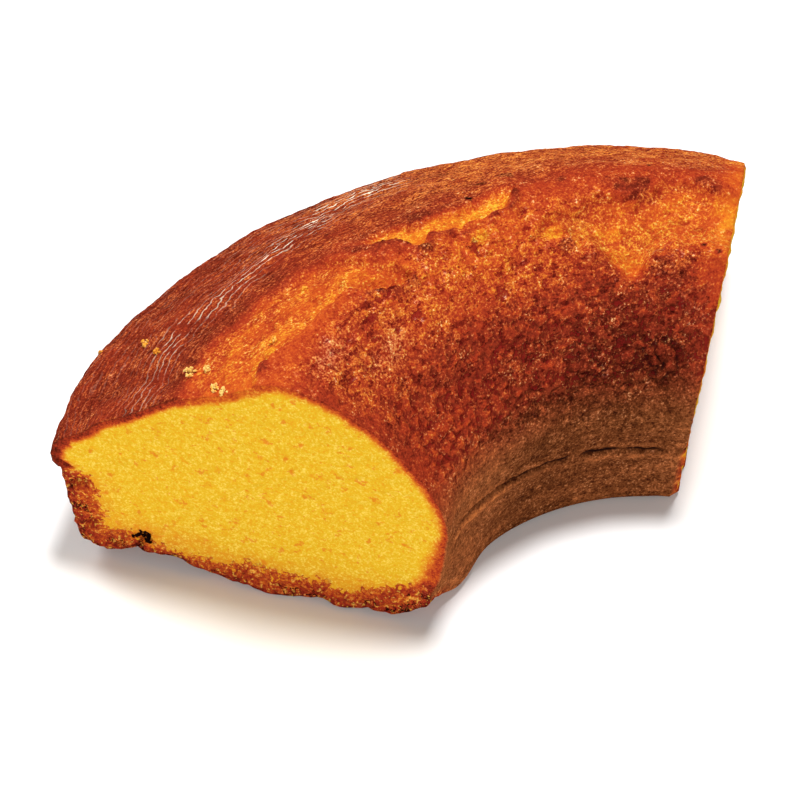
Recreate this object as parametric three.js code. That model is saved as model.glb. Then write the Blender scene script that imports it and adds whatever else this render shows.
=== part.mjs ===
// A quarter cut from a ring cake, as one solid.
//
// The tin gave the ring its flat base, its leaning outer wall and its inner wall with a small step. The
// dough rose above the tin: it set as a lip over the outer rim, slopes up to a crest and falls in a round
// shoulder to the inner wall. The crust split along the crest. Two straight knife cuts leave the flat end
// faces.
//
// Every crust point has an angle round the ring's axis, counted from the middle of the piece towards its
// left cut, and a place on one profile that runs round the section: base, outer wall, lip, slope, shoulder
// and inner wall.

import * as THREE from 'three';
import { ImprovedNoise } from 'three/addons/math/ImprovedNoise.js';

// Driving dimensions, in millimetres and degrees

// The ring's axis, placed so that the middle of the cut piece's box stands on the origin
const AXIS = new THREE.Vector2( - 0.9, - 79.9 );

// Knife cuts: each runs beside the radius at its angle, this far inside the quarter
const LEFT_CUT = { angle: 45.16, inset: 7.9 };
const RIGHT_CUT = { angle: - 45.16, inset: 6.7 };

const CREST = { radius: 78.6, height: 59.9 };
const WAIST = { radius: 47.2, height: 27 };
const INNER_FOOT = { radius: 48.8, fillet: 2.4 };
const OUTER_FOOT = { radius: 116.4, fillet: 4 };

// The outer slope leaves the crest round and runs out straight at this pitch, as far as the lip
const SLOPE = { run: 43.4, pitch: 0.845, rounding: 5.2 };

// The inner shoulder is a quarter of a superellipse, between a straight chamfer (1) and an ellipse (2)
const SHOULDER_POWER = 1.63;

// The lip stands out over the wall, is higher at the left cut than at the right, and draws in just before
// the left cut
const LIP = { overhang: 2.2, depth: 3.4, nose: 0.7, rise: 2.9, tuck: 1.5, tuckReach: 12, tuckDepth: 6 };

// A dark step line runs along the inner wall, with a low ridge under it, and climbs towards the left cut
const STEP = { height: 21.9, rise: 5.4, depth: 0.9, width: 1.3 };
const STEP_RIDGE = { height: 0.5, drop: 2.6, width: 1.8 };

// The split in the crust: how deep it lies, how high its torn edges curl, how wide an edge is, and how far
// from the left cut it stays shallow
const SPLIT = { depth: 1.2, curl: 0.4, edge: 2.2, shallow: 25 };

// Where the split runs: at each angle its middle, counted from the crest down the inner side, and half its
// width
const SPLIT_COURSE = [
	{ angle: 48, middle: - 9, half: 8.5 },
	{ angle: 24, middle: - 8, half: 8 },
	{ angle: 13, middle: - 5, half: 9.5 },
	{ angle: 4, middle: - 3, half: 6 },
	{ angle: - 6, middle: 2, half: 5 },
	{ angle: - 16, middle: 6.5, half: 4 },
	{ angle: - 24, middle: 11, half: 6.5 },
	{ angle: - 48, middle: 7, half: 6 },
];

// Uneven rising: lumps across the crust, of two sizes. Against the tin's walls the crust set almost smooth
const LUMPS = [ { size: 17, height: 1.0 }, { size: 7.5, height: 0.55 } ];
const WALL_LUMPS = { share: 0.3, top: 24, clear: 36 };
const FOOT_FADE = 9; // the lumps fade out below this height, so that the foot stays true

// Near the left cut the base crust has lifted: at its outer side, where a flake is missing, and at its
// inner corner
const BASE_LIFTS = [
	{ radius: 114, half: 16, height: 1.5, reach: 26 },
	{ radius: 101.5, half: 4, height: 2.4, reach: 13 },
	{ radius: 49, half: 5, height: 2, reach: 9 },
];
const BASE_TORN_RADIUS = 84; // from here outwards the base has finer spans

// The inner wall sags out a little over its foot, near the left cut
const SAG = { out: 2.2, angle: 27, spread: 8, height: 4, rise: 8 };

// Spans along the ring, and along each stretch of the profile
const COLUMNS = 56;
const SPANS = {
	base: 3,
	torn: 6,
	outerFoot: 3,
	outerWall: 9,
	lip: 4,
	slope: 19,
	shoulder: 21,
	innerWall: 13,
	innerFoot: 2,
};

const CRUST_FINISH = { color: 0xa2462a, roughness: 0.5, metalness: 0 };

// The profile, as curves of radius and height

/** The outer slope, from the lip up to the crest: a hyperbola that is round at the crest. */
class SlopeCurve extends THREE.Curve {

	getPoint( t, target = new THREE.Vector2() ) {

		const run = ( 1 - t ) * SLOPE.run;
		const drop = Math.hypot( SLOPE.pitch * run, SLOPE.rounding ) - SLOPE.rounding;
		return target.set( CREST.radius + run, CREST.height - drop );

	}

}

/** The inner shoulder, from the crest down to the waist: a quarter of a superellipse. */
class ShoulderCurve extends THREE.Curve {

	getPoint( t, target = new THREE.Vector2() ) {

		const turn = t * Math.PI / 2;
		const across = Math.sin( turn ) ** ( 2 / SHOULDER_POWER );
		const up = Math.max( Math.cos( turn ), 0 ) ** ( 2 / SHOULDER_POWER );
		return target.set(
			THREE.MathUtils.lerp( CREST.radius, WAIST.radius, across ),
			THREE.MathUtils.lerp( WAIST.height, CREST.height, up ),
		);

	}

}

/** The stretches of the profile in order, counter-clockwise from the inner foot, each with its spans. */
function profileStretches() {

	const slope = new SlopeCurve();
	const rim = slope.getPoint( 0 );
	const wallTop = new THREE.Vector2( rim.x - LIP.overhang, rim.y - LIP.depth );
	const lipNose = new THREE.Vector2( rim.x + LIP.nose, ( rim.y + wallTop.y ) / 2 );
	const outerCorner = new THREE.Vector2( OUTER_FOOT.radius, 0 );
	const innerCorner = new THREE.Vector2( INNER_FOOT.radius, 0 );
	const waist = new THREE.Vector2( WAIST.radius, WAIST.height );

	const baseStart = new THREE.Vector2( INNER_FOOT.radius + INNER_FOOT.fillet, 0 );
	const baseTorn = new THREE.Vector2( BASE_TORN_RADIUS, 0 );
	const baseEnd = new THREE.Vector2( OUTER_FOOT.radius - OUTER_FOOT.fillet, 0 );
	const outerFootTop = pointTowards( outerCorner, wallTop, OUTER_FOOT.fillet );
	const innerFootTop = pointTowards( innerCorner, waist, INNER_FOOT.fillet );

	const outerFoot = new THREE.QuadraticBezierCurve( baseEnd, outerCorner, outerFootTop );
	const innerFoot = new THREE.QuadraticBezierCurve( innerFootTop, innerCorner, baseStart );
	const lip = new THREE.QuadraticBezierCurve( wallTop, lipNose, rim );

	return [
		{ curve: new THREE.LineCurve( baseStart, baseTorn ), spans: SPANS.base, isBase: true },
		{ curve: new THREE.LineCurve( baseTorn, baseEnd ), spans: SPANS.torn, isBase: true },
		{ curve: outerFoot, spans: SPANS.outerFoot, isBase: true },
		{ curve: new THREE.LineCurve( outerFootTop, wallTop ), spans: SPANS.outerWall, isOuter: true },
		{ curve: lip, spans: SPANS.lip, isOuter: true },
		{ curve: slope, spans: SPANS.slope, isOuter: true },
		{ curve: new ShoulderCurve(), spans: SPANS.shoulder, startsAtCrest: true },
		{ curve: new THREE.LineCurve( waist, innerFootTop ), spans: SPANS.innerWall, isInnerWall: true },
		{ curve: innerFoot, spans: SPANS.innerFoot, isBase: true },
	];

}

/** The point at a distance from one point towards another. */
function pointTowards( from, to, distance ) {

	return to.clone().sub( from ).setLength( distance ).add( from );

}

/** The profile as points, with their outward normal and their distance past the crest, inwards. */
function profilePoints() {

	const points = [];
	for ( const { curve, spans, ...zone } of profileStretches() ) {

		const length = curve.getLength();
		for ( let k = 0; k < spans; k ++ ) {

			const point = curve.getPointAt( k / spans );
			const tangent = curve.getTangentAt( k / spans );
			const normal = new THREE.Vector2( tangent.y, - tangent.x );
			points.push( { radius: point.x, height: point.y, normal, step: length / spans, ...zone } );

		}

	}

	const crest = points.findIndex( ( point ) => point.startsAtCrest );
	let along = 0;
	for ( const point of points ) {

		point.pastCrest = along;
		along += point.step;

	}

	const crestAlong = points[ crest ].pastCrest;
	for ( const point of points ) point.pastCrest -= crestAlong;
	return points;

}

// Relief of the crust

const lumpNoise = new ImprovedNoise();

/** A bell curve: 1 at zero, fading over the given width. */
function bell( distance, width ) {

	return Math.exp( - ( ( distance / width ) ** 2 ) );

}

/** The split's middle and half width at an angle, by smooth steps between the stations of its course. */
function splitAt( angle ) {

	const next = Math.max( 1, SPLIT_COURSE.findIndex( ( station ) => station.angle <= angle ) );
	const from = SPLIT_COURSE[ next - 1 ];
	const to = SPLIT_COURSE[ next ];
	const share = THREE.MathUtils.smoothstep( from.angle - angle, 0, from.angle - to.angle );
	return {
		middle: THREE.MathUtils.lerp( from.middle, to.middle, share ),
		half: THREE.MathUtils.lerp( from.half, to.half, share ),
	};

}

/** Height of the crust at the split: sunk between its edges, curled up outside them, flat by the left cut. */
function splitRelief( angle, pastCrest, fromCut ) {

	const { middle, half } = splitAt( angle );
	const outside = Math.abs( pastCrest - middle ) - half;
	const sunk = 1 - THREE.MathUtils.smoothstep( outside, - SPLIT.edge, 0 );
	const curled = bell( outside - SPLIT.edge / 2, SPLIT.edge );
	const clearOfCut = THREE.MathUtils.smoothstep( fromCut, 0, SPLIT.shallow );
	return ( SPLIT.curl * curled - SPLIT.depth * sunk ) * clearOfCut;

}

/** Height of the crust from uneven rising: lumps in space, low on the walls and gone at the foot. */
function lumpRelief( angle, radius, height ) {

	const turn = THREE.MathUtils.degToRad( angle );
	const [ x, y ] = [ radius * Math.sin( turn ), radius * Math.cos( turn ) ];
	let relief = 0;
	for ( const lump of LUMPS ) {

		const swell = lumpNoise.noise( x / lump.size, y / lump.size, height / lump.size );
		relief += lump.height * swell;

	}

	const onTop = THREE.MathUtils.smoothstep( height, WALL_LUMPS.top, WALL_LUMPS.clear );
	const overFoot = THREE.MathUtils.smoothstep( height, 0, FOOT_FADE );
	return relief * THREE.MathUtils.lerp( WALL_LUMPS.share, 1, onTop ) * overFoot;

}

/** Height of the inner wall at its step: a groove, and a low ridge under it. */
function stepRelief( angle, height ) {

	const above = height - STEP.height - STEP.rise * angle / LEFT_CUT.angle;
	const ridge = STEP_RIDGE.height * bell( above + STEP_RIDGE.drop, STEP_RIDGE.width );
	return ridge - STEP.depth * bell( above, STEP.width );

}

/** How far the base has lifted off the ground at a radius, this far from the left cut. */
function baseLift( radius, fromCut ) {

	let height = 0;
	for ( const lift of BASE_LIFTS ) {

		const nearCut = 1 - THREE.MathUtils.smoothstep( fromCut, 0, lift.reach );
		height += lift.height * bell( radius - lift.radius, lift.half ) * nearCut;

	}

	return height;

}

/** How far the lip's rise moves a point of the outer side: fully at the lip, and not at base or crest. */
function lipSway( angle, height ) {

	const lipHeight = new SlopeCurve().getPoint( 0 ).y;
	const overBase = height / lipHeight;
	const underCrest = ( CREST.height - height ) / ( CREST.height - lipHeight );
	return LIP.rise * Math.min( overBase, underCrest ) * angle / LEFT_CUT.angle;

}

/** How far a point of the outer side is drawn in towards the axis, this far from the left cut. */
function lipTuck( height, fromCut ) {

	const lipHeight = new SlopeCurve().getPoint( 0 ).y;
	return LIP.tuck * bell( height - lipHeight, LIP.tuckDepth ) * bell( fromCut, LIP.tuckReach );

}

/** How far the inner wall sags out towards the axis. */
function wallSag( angle, height ) {

	return SAG.out * bell( angle - SAG.angle, SAG.spread ) * bell( height - SAG.height, SAG.rise );

}

/** The angle in degrees at which a circle of this radius meets a cut. */
function cutAngle( cut, radius ) {

	return cut.angle - Math.sign( cut.angle ) * THREE.MathUtils.radToDeg( Math.asin( cut.inset / radius ) );

}

/** One point of the crust, at a share of the way from the right cut to the left. */
function crustPoint( profilePoint, share ) {

	const { pastCrest, normal } = profilePoint;
	let { radius, height } = profilePoint;
	const angle = THREE.MathUtils.lerp( cutAngle( RIGHT_CUT, radius ), cutAngle( LEFT_CUT, radius ), share );
	const fromCut = THREE.MathUtils.degToRad( cutAngle( LEFT_CUT, radius ) - angle ) * radius;

	if ( profilePoint.isBase ) {

		const sag = radius < CREST.radius ? wallSag( angle, height ) : 0;
		height += baseLift( radius, fromCut );
		radius -= sag;

	} else {

		let relief = lumpRelief( angle, radius, height ) + splitRelief( angle, pastCrest, fromCut );
		if ( profilePoint.isInnerWall ) {

			relief += stepRelief( angle, height ) - wallSag( angle, height ) * normal.x;

		}

		const tuck = profilePoint.isOuter ? lipTuck( height, fromCut ) : 0;
		const sway = profilePoint.isOuter ? lipSway( angle, height ) : 0;
		radius += relief * normal.x - tuck;
		height += relief * normal.y + sway;

	}

	return onRing( radius, height, share );

}

/** The place of a radius and height, at a share of the way from the right cut to the left. */
function onRing( radius, height, share ) {

	const angle = THREE.MathUtils.lerp( cutAngle( RIGHT_CUT, radius ), cutAngle( LEFT_CUT, radius ), share );
	const turn = THREE.MathUtils.degToRad( angle );
	return new THREE.Vector3( AXIS.x - radius * Math.sin( turn ), AXIS.y + radius * Math.cos( turn ), height );

}

/** Triangles of a flat end face, as places on the profile in counter-clockwise order. */
function endFaceTriangles( ring ) {

	const outline = ring.map( ( point ) => {

		const radius = Math.hypot( point.x - AXIS.x, point.y - AXIS.y );
		return new THREE.Vector2( radius, point.z );

	} );
	return THREE.ShapeUtils.triangulateShape( outline, [] ).map( ( [ a, b, c ] ) => {

		const side = outline[ b ].clone().sub( outline[ a ] ).cross( outline[ c ].clone().sub( outline[ a ] ) );
		return side > 0 ? [ a, b, c ] : [ a, c, b ];

	} );

}

/** The whole piece: the crust as a grid of the profile carried round the ring, and the two end faces. */
function cakeGeometry() {

	const profile = profilePoints();
	const rows = profile.length;
	const vertices = [];
	const triangles = [];

	for ( let column = 0; column <= COLUMNS; column ++ ) {

		for ( const point of profile ) vertices.push( crustPoint( point, column / COLUMNS ) );

	}

	for ( let column = 0; column < COLUMNS; column ++ ) {

		for ( let row = 0; row < rows; row ++ ) {

			const here = column * rows + row;
			const onward = column * rows + ( row + 1 ) % rows;
			triangles.push( here, here + rows, onward + rows, here, onward + rows, onward );

		}

	}

	const leftStart = COLUMNS * rows;
	for ( const [ a, b, c ] of endFaceTriangles( vertices.slice( 0, rows ) ) ) triangles.push( a, b, c );
	for ( const [ a, b, c ] of endFaceTriangles( vertices.slice( leftStart ) ) ) {

		triangles.push( leftStart + a, leftStart + c, leftStart + b );

	}

	const geometry = new THREE.BufferGeometry().setFromPoints( vertices );
	geometry.setIndex( triangles );
	geometry.computeVertexNormals();
	return geometry;

}

const cake = new THREE.Mesh( cakeGeometry(), new THREE.MeshStandardMaterial( CRUST_FINISH ) );
cake.name = 'ring_cake';

const part = new THREE.Group();
part.add( cake );

export default part;
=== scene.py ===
import itertools
import logging
import math
from dataclasses import dataclass, field
from enum import Enum, IntEnum
from typing import Any, Optional, Sequence, Union

import bpy
import numpy as np
from mathutils import Matrix, Vector


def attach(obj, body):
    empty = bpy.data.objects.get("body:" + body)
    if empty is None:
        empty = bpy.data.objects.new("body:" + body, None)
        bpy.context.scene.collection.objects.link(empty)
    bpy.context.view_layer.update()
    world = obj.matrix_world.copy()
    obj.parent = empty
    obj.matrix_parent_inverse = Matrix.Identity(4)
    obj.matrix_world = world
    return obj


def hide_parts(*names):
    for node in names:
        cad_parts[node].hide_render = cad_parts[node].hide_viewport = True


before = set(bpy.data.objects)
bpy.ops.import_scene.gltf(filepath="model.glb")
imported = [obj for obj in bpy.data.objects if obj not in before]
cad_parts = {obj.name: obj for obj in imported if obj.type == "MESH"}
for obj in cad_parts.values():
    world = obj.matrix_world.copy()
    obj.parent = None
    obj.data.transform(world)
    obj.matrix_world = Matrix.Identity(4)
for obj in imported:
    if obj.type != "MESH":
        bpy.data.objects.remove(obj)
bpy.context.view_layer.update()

LOG = logging.getLogger("ring_cake")
MM = 0.001

Array = np.ndarray
Colour = tuple[float, float, float]
Stations = Sequence[tuple[float, float]]


class Piece(Enum):
    """Names of the pieces of the scene."""

    BODY = "cake_body"
    CRUMBS = "loose_crumbs"
    FLOOR = "floor"


class Frame(Enum):
    """Names in the frame: the body that carries the cake, its node and its material slot."""

    CARRIER = "root"
    NODE = "ring_cake"
    SLOT = "cake"


class Look(Enum):
    """Values on the vertices that lead the finish."""

    TOAST = "toast"
    TORN = "torn"
    TIN = "tin"
    GLOSS = "gloss"
    BLOOM = "bloom"
    FLECKS = "flecks"
    GRAINY = "grainy"
    PIT = "pit"
    CRUMB = "crumb"
    PHASE = "phase"
    SLOPE = "slope"
    SKIN = "skin"
    BURNT = "burnt"
    SCORCH = "scorch"
    FLAKY = "flaky"


class Zone(IntEnum):
    """Stretches of the section, in order round it."""

    BASE = 0
    OUTER_FOOT = 1
    OUTER_WALL = 2
    LIP = 3
    SLOPE = 4
    SHOULDER = 5
    INNER_WALL = 6
    INNER_FOOT = 7


# Small maths on arrays


def step(values: Array, low: float, high: float) -> Array:
    """Rises smoothly from 0 at low to 1 at high."""
    t = np.clip((values - low) / (high - low), 0.0, 1.0)
    return t * t * (3.0 - 2.0 * t)


def bell(values: Array, width: float) -> Array:
    """A bell curve: 1 at zero, fading over the width."""
    return np.exp(-np.square(values / width))


def blend(first: Array, second: Array, share: Array) -> Array:
    """A mix of two values, the first at share 0 and the second at 1."""
    return first + (second - first) * share


def along_stations(values: Array, stations: Stations) -> Array:
    """Straight lines between stations, which are pairs of place and value in rising order of place."""
    places, levels = zip(*stations)
    return np.interp(values, places, levels)


def linear(*srgb: int) -> Colour:
    """A colour given in 8-bit screen values, as linear light."""
    shares = [value / 255.0 for value in srgb]
    return tuple(s / 12.92 if s <= 0.04045 else ((s + 0.055) / 1.055) ** 2.4 for s in shares)


def blur(grid: Array, reach: int) -> Array:
    """The mean of a grid over a square of reach steps each way, with its borders repeated.

    Args:
        grid: Values on a grid.
        reach: Steps each way.

    Returns:
        The smoothed grid, of the same shape.
    """
    for axis in (0, 1):
        pads = [(reach, reach) if a == axis else (0, 0) for a in (0, 1)]
        padded = np.pad(grid, pads, mode="edge")
        length = grid.shape[axis]
        shifted = [np.take(padded, np.arange(k, k + length), axis=axis) for k in range(2 * reach + 1)]
        grid = np.mean(shifted, axis=0)
    return grid


class Grain:
    """Seeded noise in space: smooth lumps, sums of lumps, and cells round scattered seeds.

    A number added to the points moves to a stretch of noise of its own, so that no two uses are alike.
    """

    TABLE = 256
    LUMP_GAIN = 1.6
    LAYER_SHIFT = 17.3
    PUSH_SHIFTS = (61.0, 83.0, 97.0)

    def __init__(self, seed: int) -> None:
        """Draws the slopes and seed places that the noise is made of.

        Args:
            seed: Seed of the draws.
        """
        rng = np.random.default_rng(seed)
        self.order = rng.permutation(self.TABLE)
        slopes = rng.normal(size=(self.TABLE, 3))
        self.slopes = slopes / np.linalg.norm(slopes, axis=1, keepdims=True)
        self.places = rng.random((self.TABLE, 3))
        self.tints = rng.random(self.TABLE)

    def _key(self, cell: Array) -> Array:
        """A scrambled table index for whole-number cells of space.

        Args:
            cell: Whole-number cells, with x, y, z last.

        Returns:
            An index into the tables for each cell.
        """
        key = self.order[cell[..., 0] % self.TABLE]
        key = self.order[(key + cell[..., 1]) % self.TABLE]
        return self.order[(key + cell[..., 2]) % self.TABLE]

    def lumps(self, points: Array, size: float) -> Array:
        """Gradient noise: at each corner of a cell a slope, blended by a smooth fade.

        Args:
            points: Places in space, with x, y, z last.
            size: Width of a cell.

        Returns:
            Values from about -1 to 1.
        """
        place = points / size
        cell = np.floor(place).astype(int)
        inside = place - cell
        fade = inside**3 * (inside * (inside * 6.0 - 15.0) + 10.0)
        total = np.zeros(points.shape[:-1])
        for corner in itertools.product((0, 1), repeat=3):
            slope = self.slopes[self._key(cell + np.array(corner))]
            share = np.prod(np.where(np.array(corner) == 1, fade, 1.0 - fade), axis=-1)
            total += share * np.sum((inside - corner) * slope, axis=-1)
        return total * self.LUMP_GAIN

    def layers(self, points: Array, size: float, count: int = 3, gain: float = 0.5) -> Array:
        """A sum of lumps, each layer half the size of the last and gain times its height.

        Args:
            points: Places in space, with x, y, z last.
            size: Width of the first layer's cells.
            count: Number of layers.
            gain: Height of a layer as a share of the last one's.

        Returns:
            Values from about -1 to 1.
        """
        heights = [gain**k for k in range(count)]
        places = [points + self.LAYER_SHIFT * k for k in range(count)]
        total = sum(h * self.lumps(places[k], size / 2**k) for k, h in enumerate(heights))
        return total / sum(heights)

    def warped(self, points: Array, size: float, reach: float) -> Array:
        """Places pushed about by lumps of a size, as far as the reach in each direction."""
        pushes = [self.lumps(points + shift, size) for shift in self.PUSH_SHIFTS]
        return points + reach * np.stack(pushes, axis=-1)

    def cells(self, points: Array, size: float) -> tuple[Array, Array]:
        """Distance to the nearest of the seeds scattered one to a cell.

        Args:
            points: Places in space, with x, y, z last.
            size: Width of a cell.

        Returns:
            Distance to the nearest seed, in cell widths, and that seed's own random number from 0 to 1.
        """
        place = points / size
        cell = np.floor(place).astype(int)
        nearest = np.full(points.shape[:-1], np.inf)
        tint = np.zeros(points.shape[:-1])
        for offset in itertools.product((-1, 0, 1), repeat=3):
            there = cell + np.array(offset)
            key = self._key(there)
            distance = np.linalg.norm(there + self.places[key] - place, axis=-1)
            closer = distance < nearest
            tint = np.where(closer, self.tints[key], tint)
            nearest = np.where(closer, distance, nearest)
        return nearest, tint

    def pits(self, points: Array, size: float, share: float, inner: float, outer: float) -> Array:
        """Round pits in a share of the cells: 1 within the inner distance of a seed, 0 past the outer."""
        near, tint = self.cells(points, size)
        return (1.0 - step(near, inner, outer)) * (tint < share)


# The ring and its section


@dataclass(frozen=True)
class Trace:
    """The section as arrays, counter-clockwise from the inner end of the base."""

    radius: Array
    height: Array
    out_r: Array
    out_z: Array
    past_crest: Array
    zone: Array


@dataclass(frozen=True)
class Section:
    """The ring's section, in millimetres: what the tin and the rising dough gave it."""

    crest_radius: float = 78.6
    crest_height: float = 59.9
    waist_radius: float = 47.2
    waist_height: float = 27.0
    inner_foot: float = 48.8
    inner_fillet: float = 2.4
    outer_foot: float = 116.4
    outer_fillet: float = 5.5
    rim_run: float = 43.4
    lip_start: float = 3.2
    slope_pitch: float = 0.845
    slope_rounding: float = 5.2
    shoulder_power: float = 1.63
    lip_overhang: float = 2.6
    lip_depth: float = 5.8
    lip_bulge: float = 2.2
    lip_hang: float = 0.3
    fine_points: int = 400

    def slope_height(self, run: Array) -> Array:
        """Height of the outer slope at a run out from the crest: a hyperbola, round at the crest."""
        drop = np.hypot(self.slope_pitch * run, self.slope_rounding) - self.slope_rounding
        return self.crest_height - drop

    def slope_point(self, run: float) -> Array:
        """Radius and height on the outer slope at a run out from the crest."""
        return np.array([self.crest_radius + run, float(self.slope_height(np.array(run)))])

    @property
    def rim(self) -> Array:
        """Radius and height where the slope would end if the lip were sharp."""
        return self.slope_point(self.rim_run)

    def _stretches(self) -> list[tuple[Zone, Array, float]]:
        """The stretches of the section, in order round it.

        Returns:
            Each stretch's zone, a fine run of points along it and the spacing that its grid has.
        """
        t = np.linspace(0.0, 1.0, self.fine_points)[:, None]
        rim = self.rim
        wall_top = rim - np.array([self.lip_overhang, self.lip_depth])
        under_nose = wall_top + np.array([self.lip_bulge, -self.lip_hang])
        lip_top = self.slope_point(self.rim_run - self.lip_start)
        outer = np.array([self.outer_foot, 0.0])
        inner = np.array([self.inner_foot, 0.0])
        waist = np.array([self.waist_radius, self.waist_height])
        base_start = inner + np.array([self.inner_fillet, 0.0])
        base_end = outer - np.array([self.outer_fillet, 0.0])
        outer_top = outer + self.outer_fillet * (wall_top - outer) / np.linalg.norm(wall_top - outer)
        inner_top = inner + self.inner_fillet * (waist - inner) / np.linalg.norm(waist - inner)

        def line(a: Array, b: Array) -> Array:
            """A straight line."""
            return a + (b - a) * t

        def curve(*pulls: Array) -> Array:
            """A Bernstein curve from the first point to the last, drawn towards those between.

            Args:
                pulls: Points, each weighted by its Bernstein polynomial.

            Returns:
                Points along the curve.
            """
            last = len(pulls) - 1
            shares = [math.comb(last, k) * (1 - t) ** (last - k) * t**k for k in range(last + 1)]
            return sum(share * pull for share, pull in zip(shares, pulls))

        run = (1.0 - t) * (self.rim_run - self.lip_start)
        slope = np.hstack([self.crest_radius + run, self.slope_height(run)])
        turn = t * math.pi / 2.0
        power = 2.0 / self.shoulder_power
        across = np.sin(turn) ** power
        up = np.maximum(np.cos(turn), 0.0) ** power
        shoulder = np.hstack([
            self.crest_radius + (self.waist_radius - self.crest_radius) * across,
            self.waist_height + (self.crest_height - self.waist_height) * up,
        ])
        return [
            (Zone.BASE, line(base_start, base_end), 1.1),
            (Zone.OUTER_FOOT, curve(base_end, outer, outer_top), 0.7),
            (Zone.OUTER_WALL, line(outer_top, wall_top), 0.8),
            (Zone.LIP, curve(wall_top, under_nose, rim, lip_top), 0.5),
            (Zone.SLOPE, slope, 0.52),
            (Zone.SHOULDER, shoulder, 0.46),
            (Zone.INNER_WALL, line(waist, inner_top), 0.6),
            (Zone.INNER_FOOT, curve(inner_top, inner, base_start), 0.7),
        ]

    def trace(self) -> Trace:
        """The section as evenly spaced points, with outward normals and distances past the crest.

        Returns:
            The arrays of the section.
        """
        points, zones = [], []
        for zone, fine, spacing in self._stretches():
            length = np.concatenate([[0.0], np.cumsum(np.linalg.norm(np.diff(fine, axis=0), axis=1))])
            count = max(2, round(length[-1] / spacing))
            wanted = np.arange(count) * length[-1] / count
            points.append(np.stack([np.interp(wanted, length, fine[:, k]) for k in (0, 1)], axis=1))
            zones.append(np.full(count, int(zone)))
        line = np.concatenate(points)
        zone = np.concatenate(zones)
        tangent = np.roll(line, -1, axis=0) - np.roll(line, 1, axis=0)
        tangent /= np.linalg.norm(tangent, axis=1, keepdims=True)
        steps = np.linalg.norm(np.diff(line, axis=0), axis=1)
        travelled = np.concatenate([[0.0], np.cumsum(steps)])
        past = travelled - travelled[int(np.argmax(zone == Zone.SHOULDER))]
        return Trace(line[:, 0], line[:, 1], tangent[:, 1], -tangent[:, 0], past, zone)


@dataclass(frozen=True)
class Cut:
    """A knife cut: the angle of the radius that it runs beside, and how far inside the quarter it lies."""

    angle: float
    inset: float

    @property
    def outward(self) -> Array:
        """Unit normal of the cut, out of the cake."""
        turn = math.radians(self.angle)
        return math.copysign(1.0, self.angle) * np.array([-math.cos(turn), -math.sin(turn), 0.0])

    def along(self, radius: Array) -> Array:
        """Distances along the cut at which it meets circles of these radii."""
        return np.sqrt(np.square(radius) - self.inset**2)

    def meets(self, radius: Array) -> Array:
        """The angle in degrees at which circles of these radii meet the cut."""
        return self.angle - math.copysign(1.0, self.angle) * np.degrees(np.arcsin(self.inset / radius))


@dataclass(frozen=True)
class Ring:
    """Where the ring's axis stands in the frame, and the cuts that leave the piece, in millimetres."""

    axis: tuple[float, float] = (-0.9, -79.9)
    left: Cut = Cut(45.16, 7.9)
    right: Cut = Cut(-45.16, 6.7)

    def angle(self, radius: Array, share: Array) -> Array:
        """Angle in degrees at a share of the way from the right cut to the left."""
        return blend(self.right.meets(radius), self.left.meets(radius), share)

    def place(self, radius: Array, height: Array, share: Array) -> Array:
        """Places in millimetres for radii and heights at a share of the way between the cuts.

        Args:
            radius: Distances from the ring's axis.
            height: Heights over the base.
            share: Share of the way from the right cut to the left.

        Returns:
            Places, with x, y, z last.
        """
        turn = np.radians(self.angle(radius, share))
        x = self.axis[0] - radius * np.sin(turn)
        y = self.axis[1] + radius * np.cos(turn)
        return np.stack(np.broadcast_arrays(x, y, height), axis=-1)


# Meshes


@dataclass
class Surface:
    """A closed mesh as arrays, in millimetres, with values on its vertices."""

    vertices: Array
    quads: Array
    triangles: Array
    values: dict[Look, Array]

    def to_object(self, name: str) -> bpy.types.Object:
        """Makes the mesh and its object, at the origin, in metres, with smooth faces.

        Args:
            name: Name of the piece.

        Returns:
            The new object, linked to the scene.
        """
        mesh = bpy.data.meshes.new(name)
        faces = self.quads.tolist() + self.triangles.tolist()
        mesh.from_pydata((self.vertices * MM).tolist(), [], faces)
        mesh.polygons.foreach_set("use_smooth", np.ones(len(mesh.polygons), dtype=bool))
        for key, values in self.values.items():
            vector = values.ndim == 2
            layer = mesh.attributes.new(key.value, "FLOAT_VECTOR" if vector else "FLOAT", "POINT")
            layer.data.foreach_set("vector" if vector else "value", values.astype(np.float32).ravel())
        mesh.update()
        piece = bpy.data.objects.new(name, mesh)
        bpy.context.scene.collection.objects.link(piece)
        return piece


# The cake


@dataclass(frozen=True)
class Spot:
    """A patch of the crust that is browner or paler than what is round it, or that stands up.

    angle is in degrees from the middle of the piece, past is in millimetres past the crest towards the
    inner side, and length and width are half the patch along and across the ring, in millimetres.
    """

    angle: float
    past: float
    length: float
    width: float
    toast: float
    rise: float = 0.0


@dataclass(frozen=True)
class Opening:
    """A stretch where the rising dough split the crust: its outer and inner edges, and how soft each is.

    Each edge is a list of stations of angle in degrees and millimetres past the crest. The edges meet
    where the opening ends. Its browning goes from that of the outer edge to that of the inner one.
    """

    outer: Stations
    inner: Stations
    outer_soft: float
    inner_soft: float
    outer_toast: float
    inner_toast: float


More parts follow.
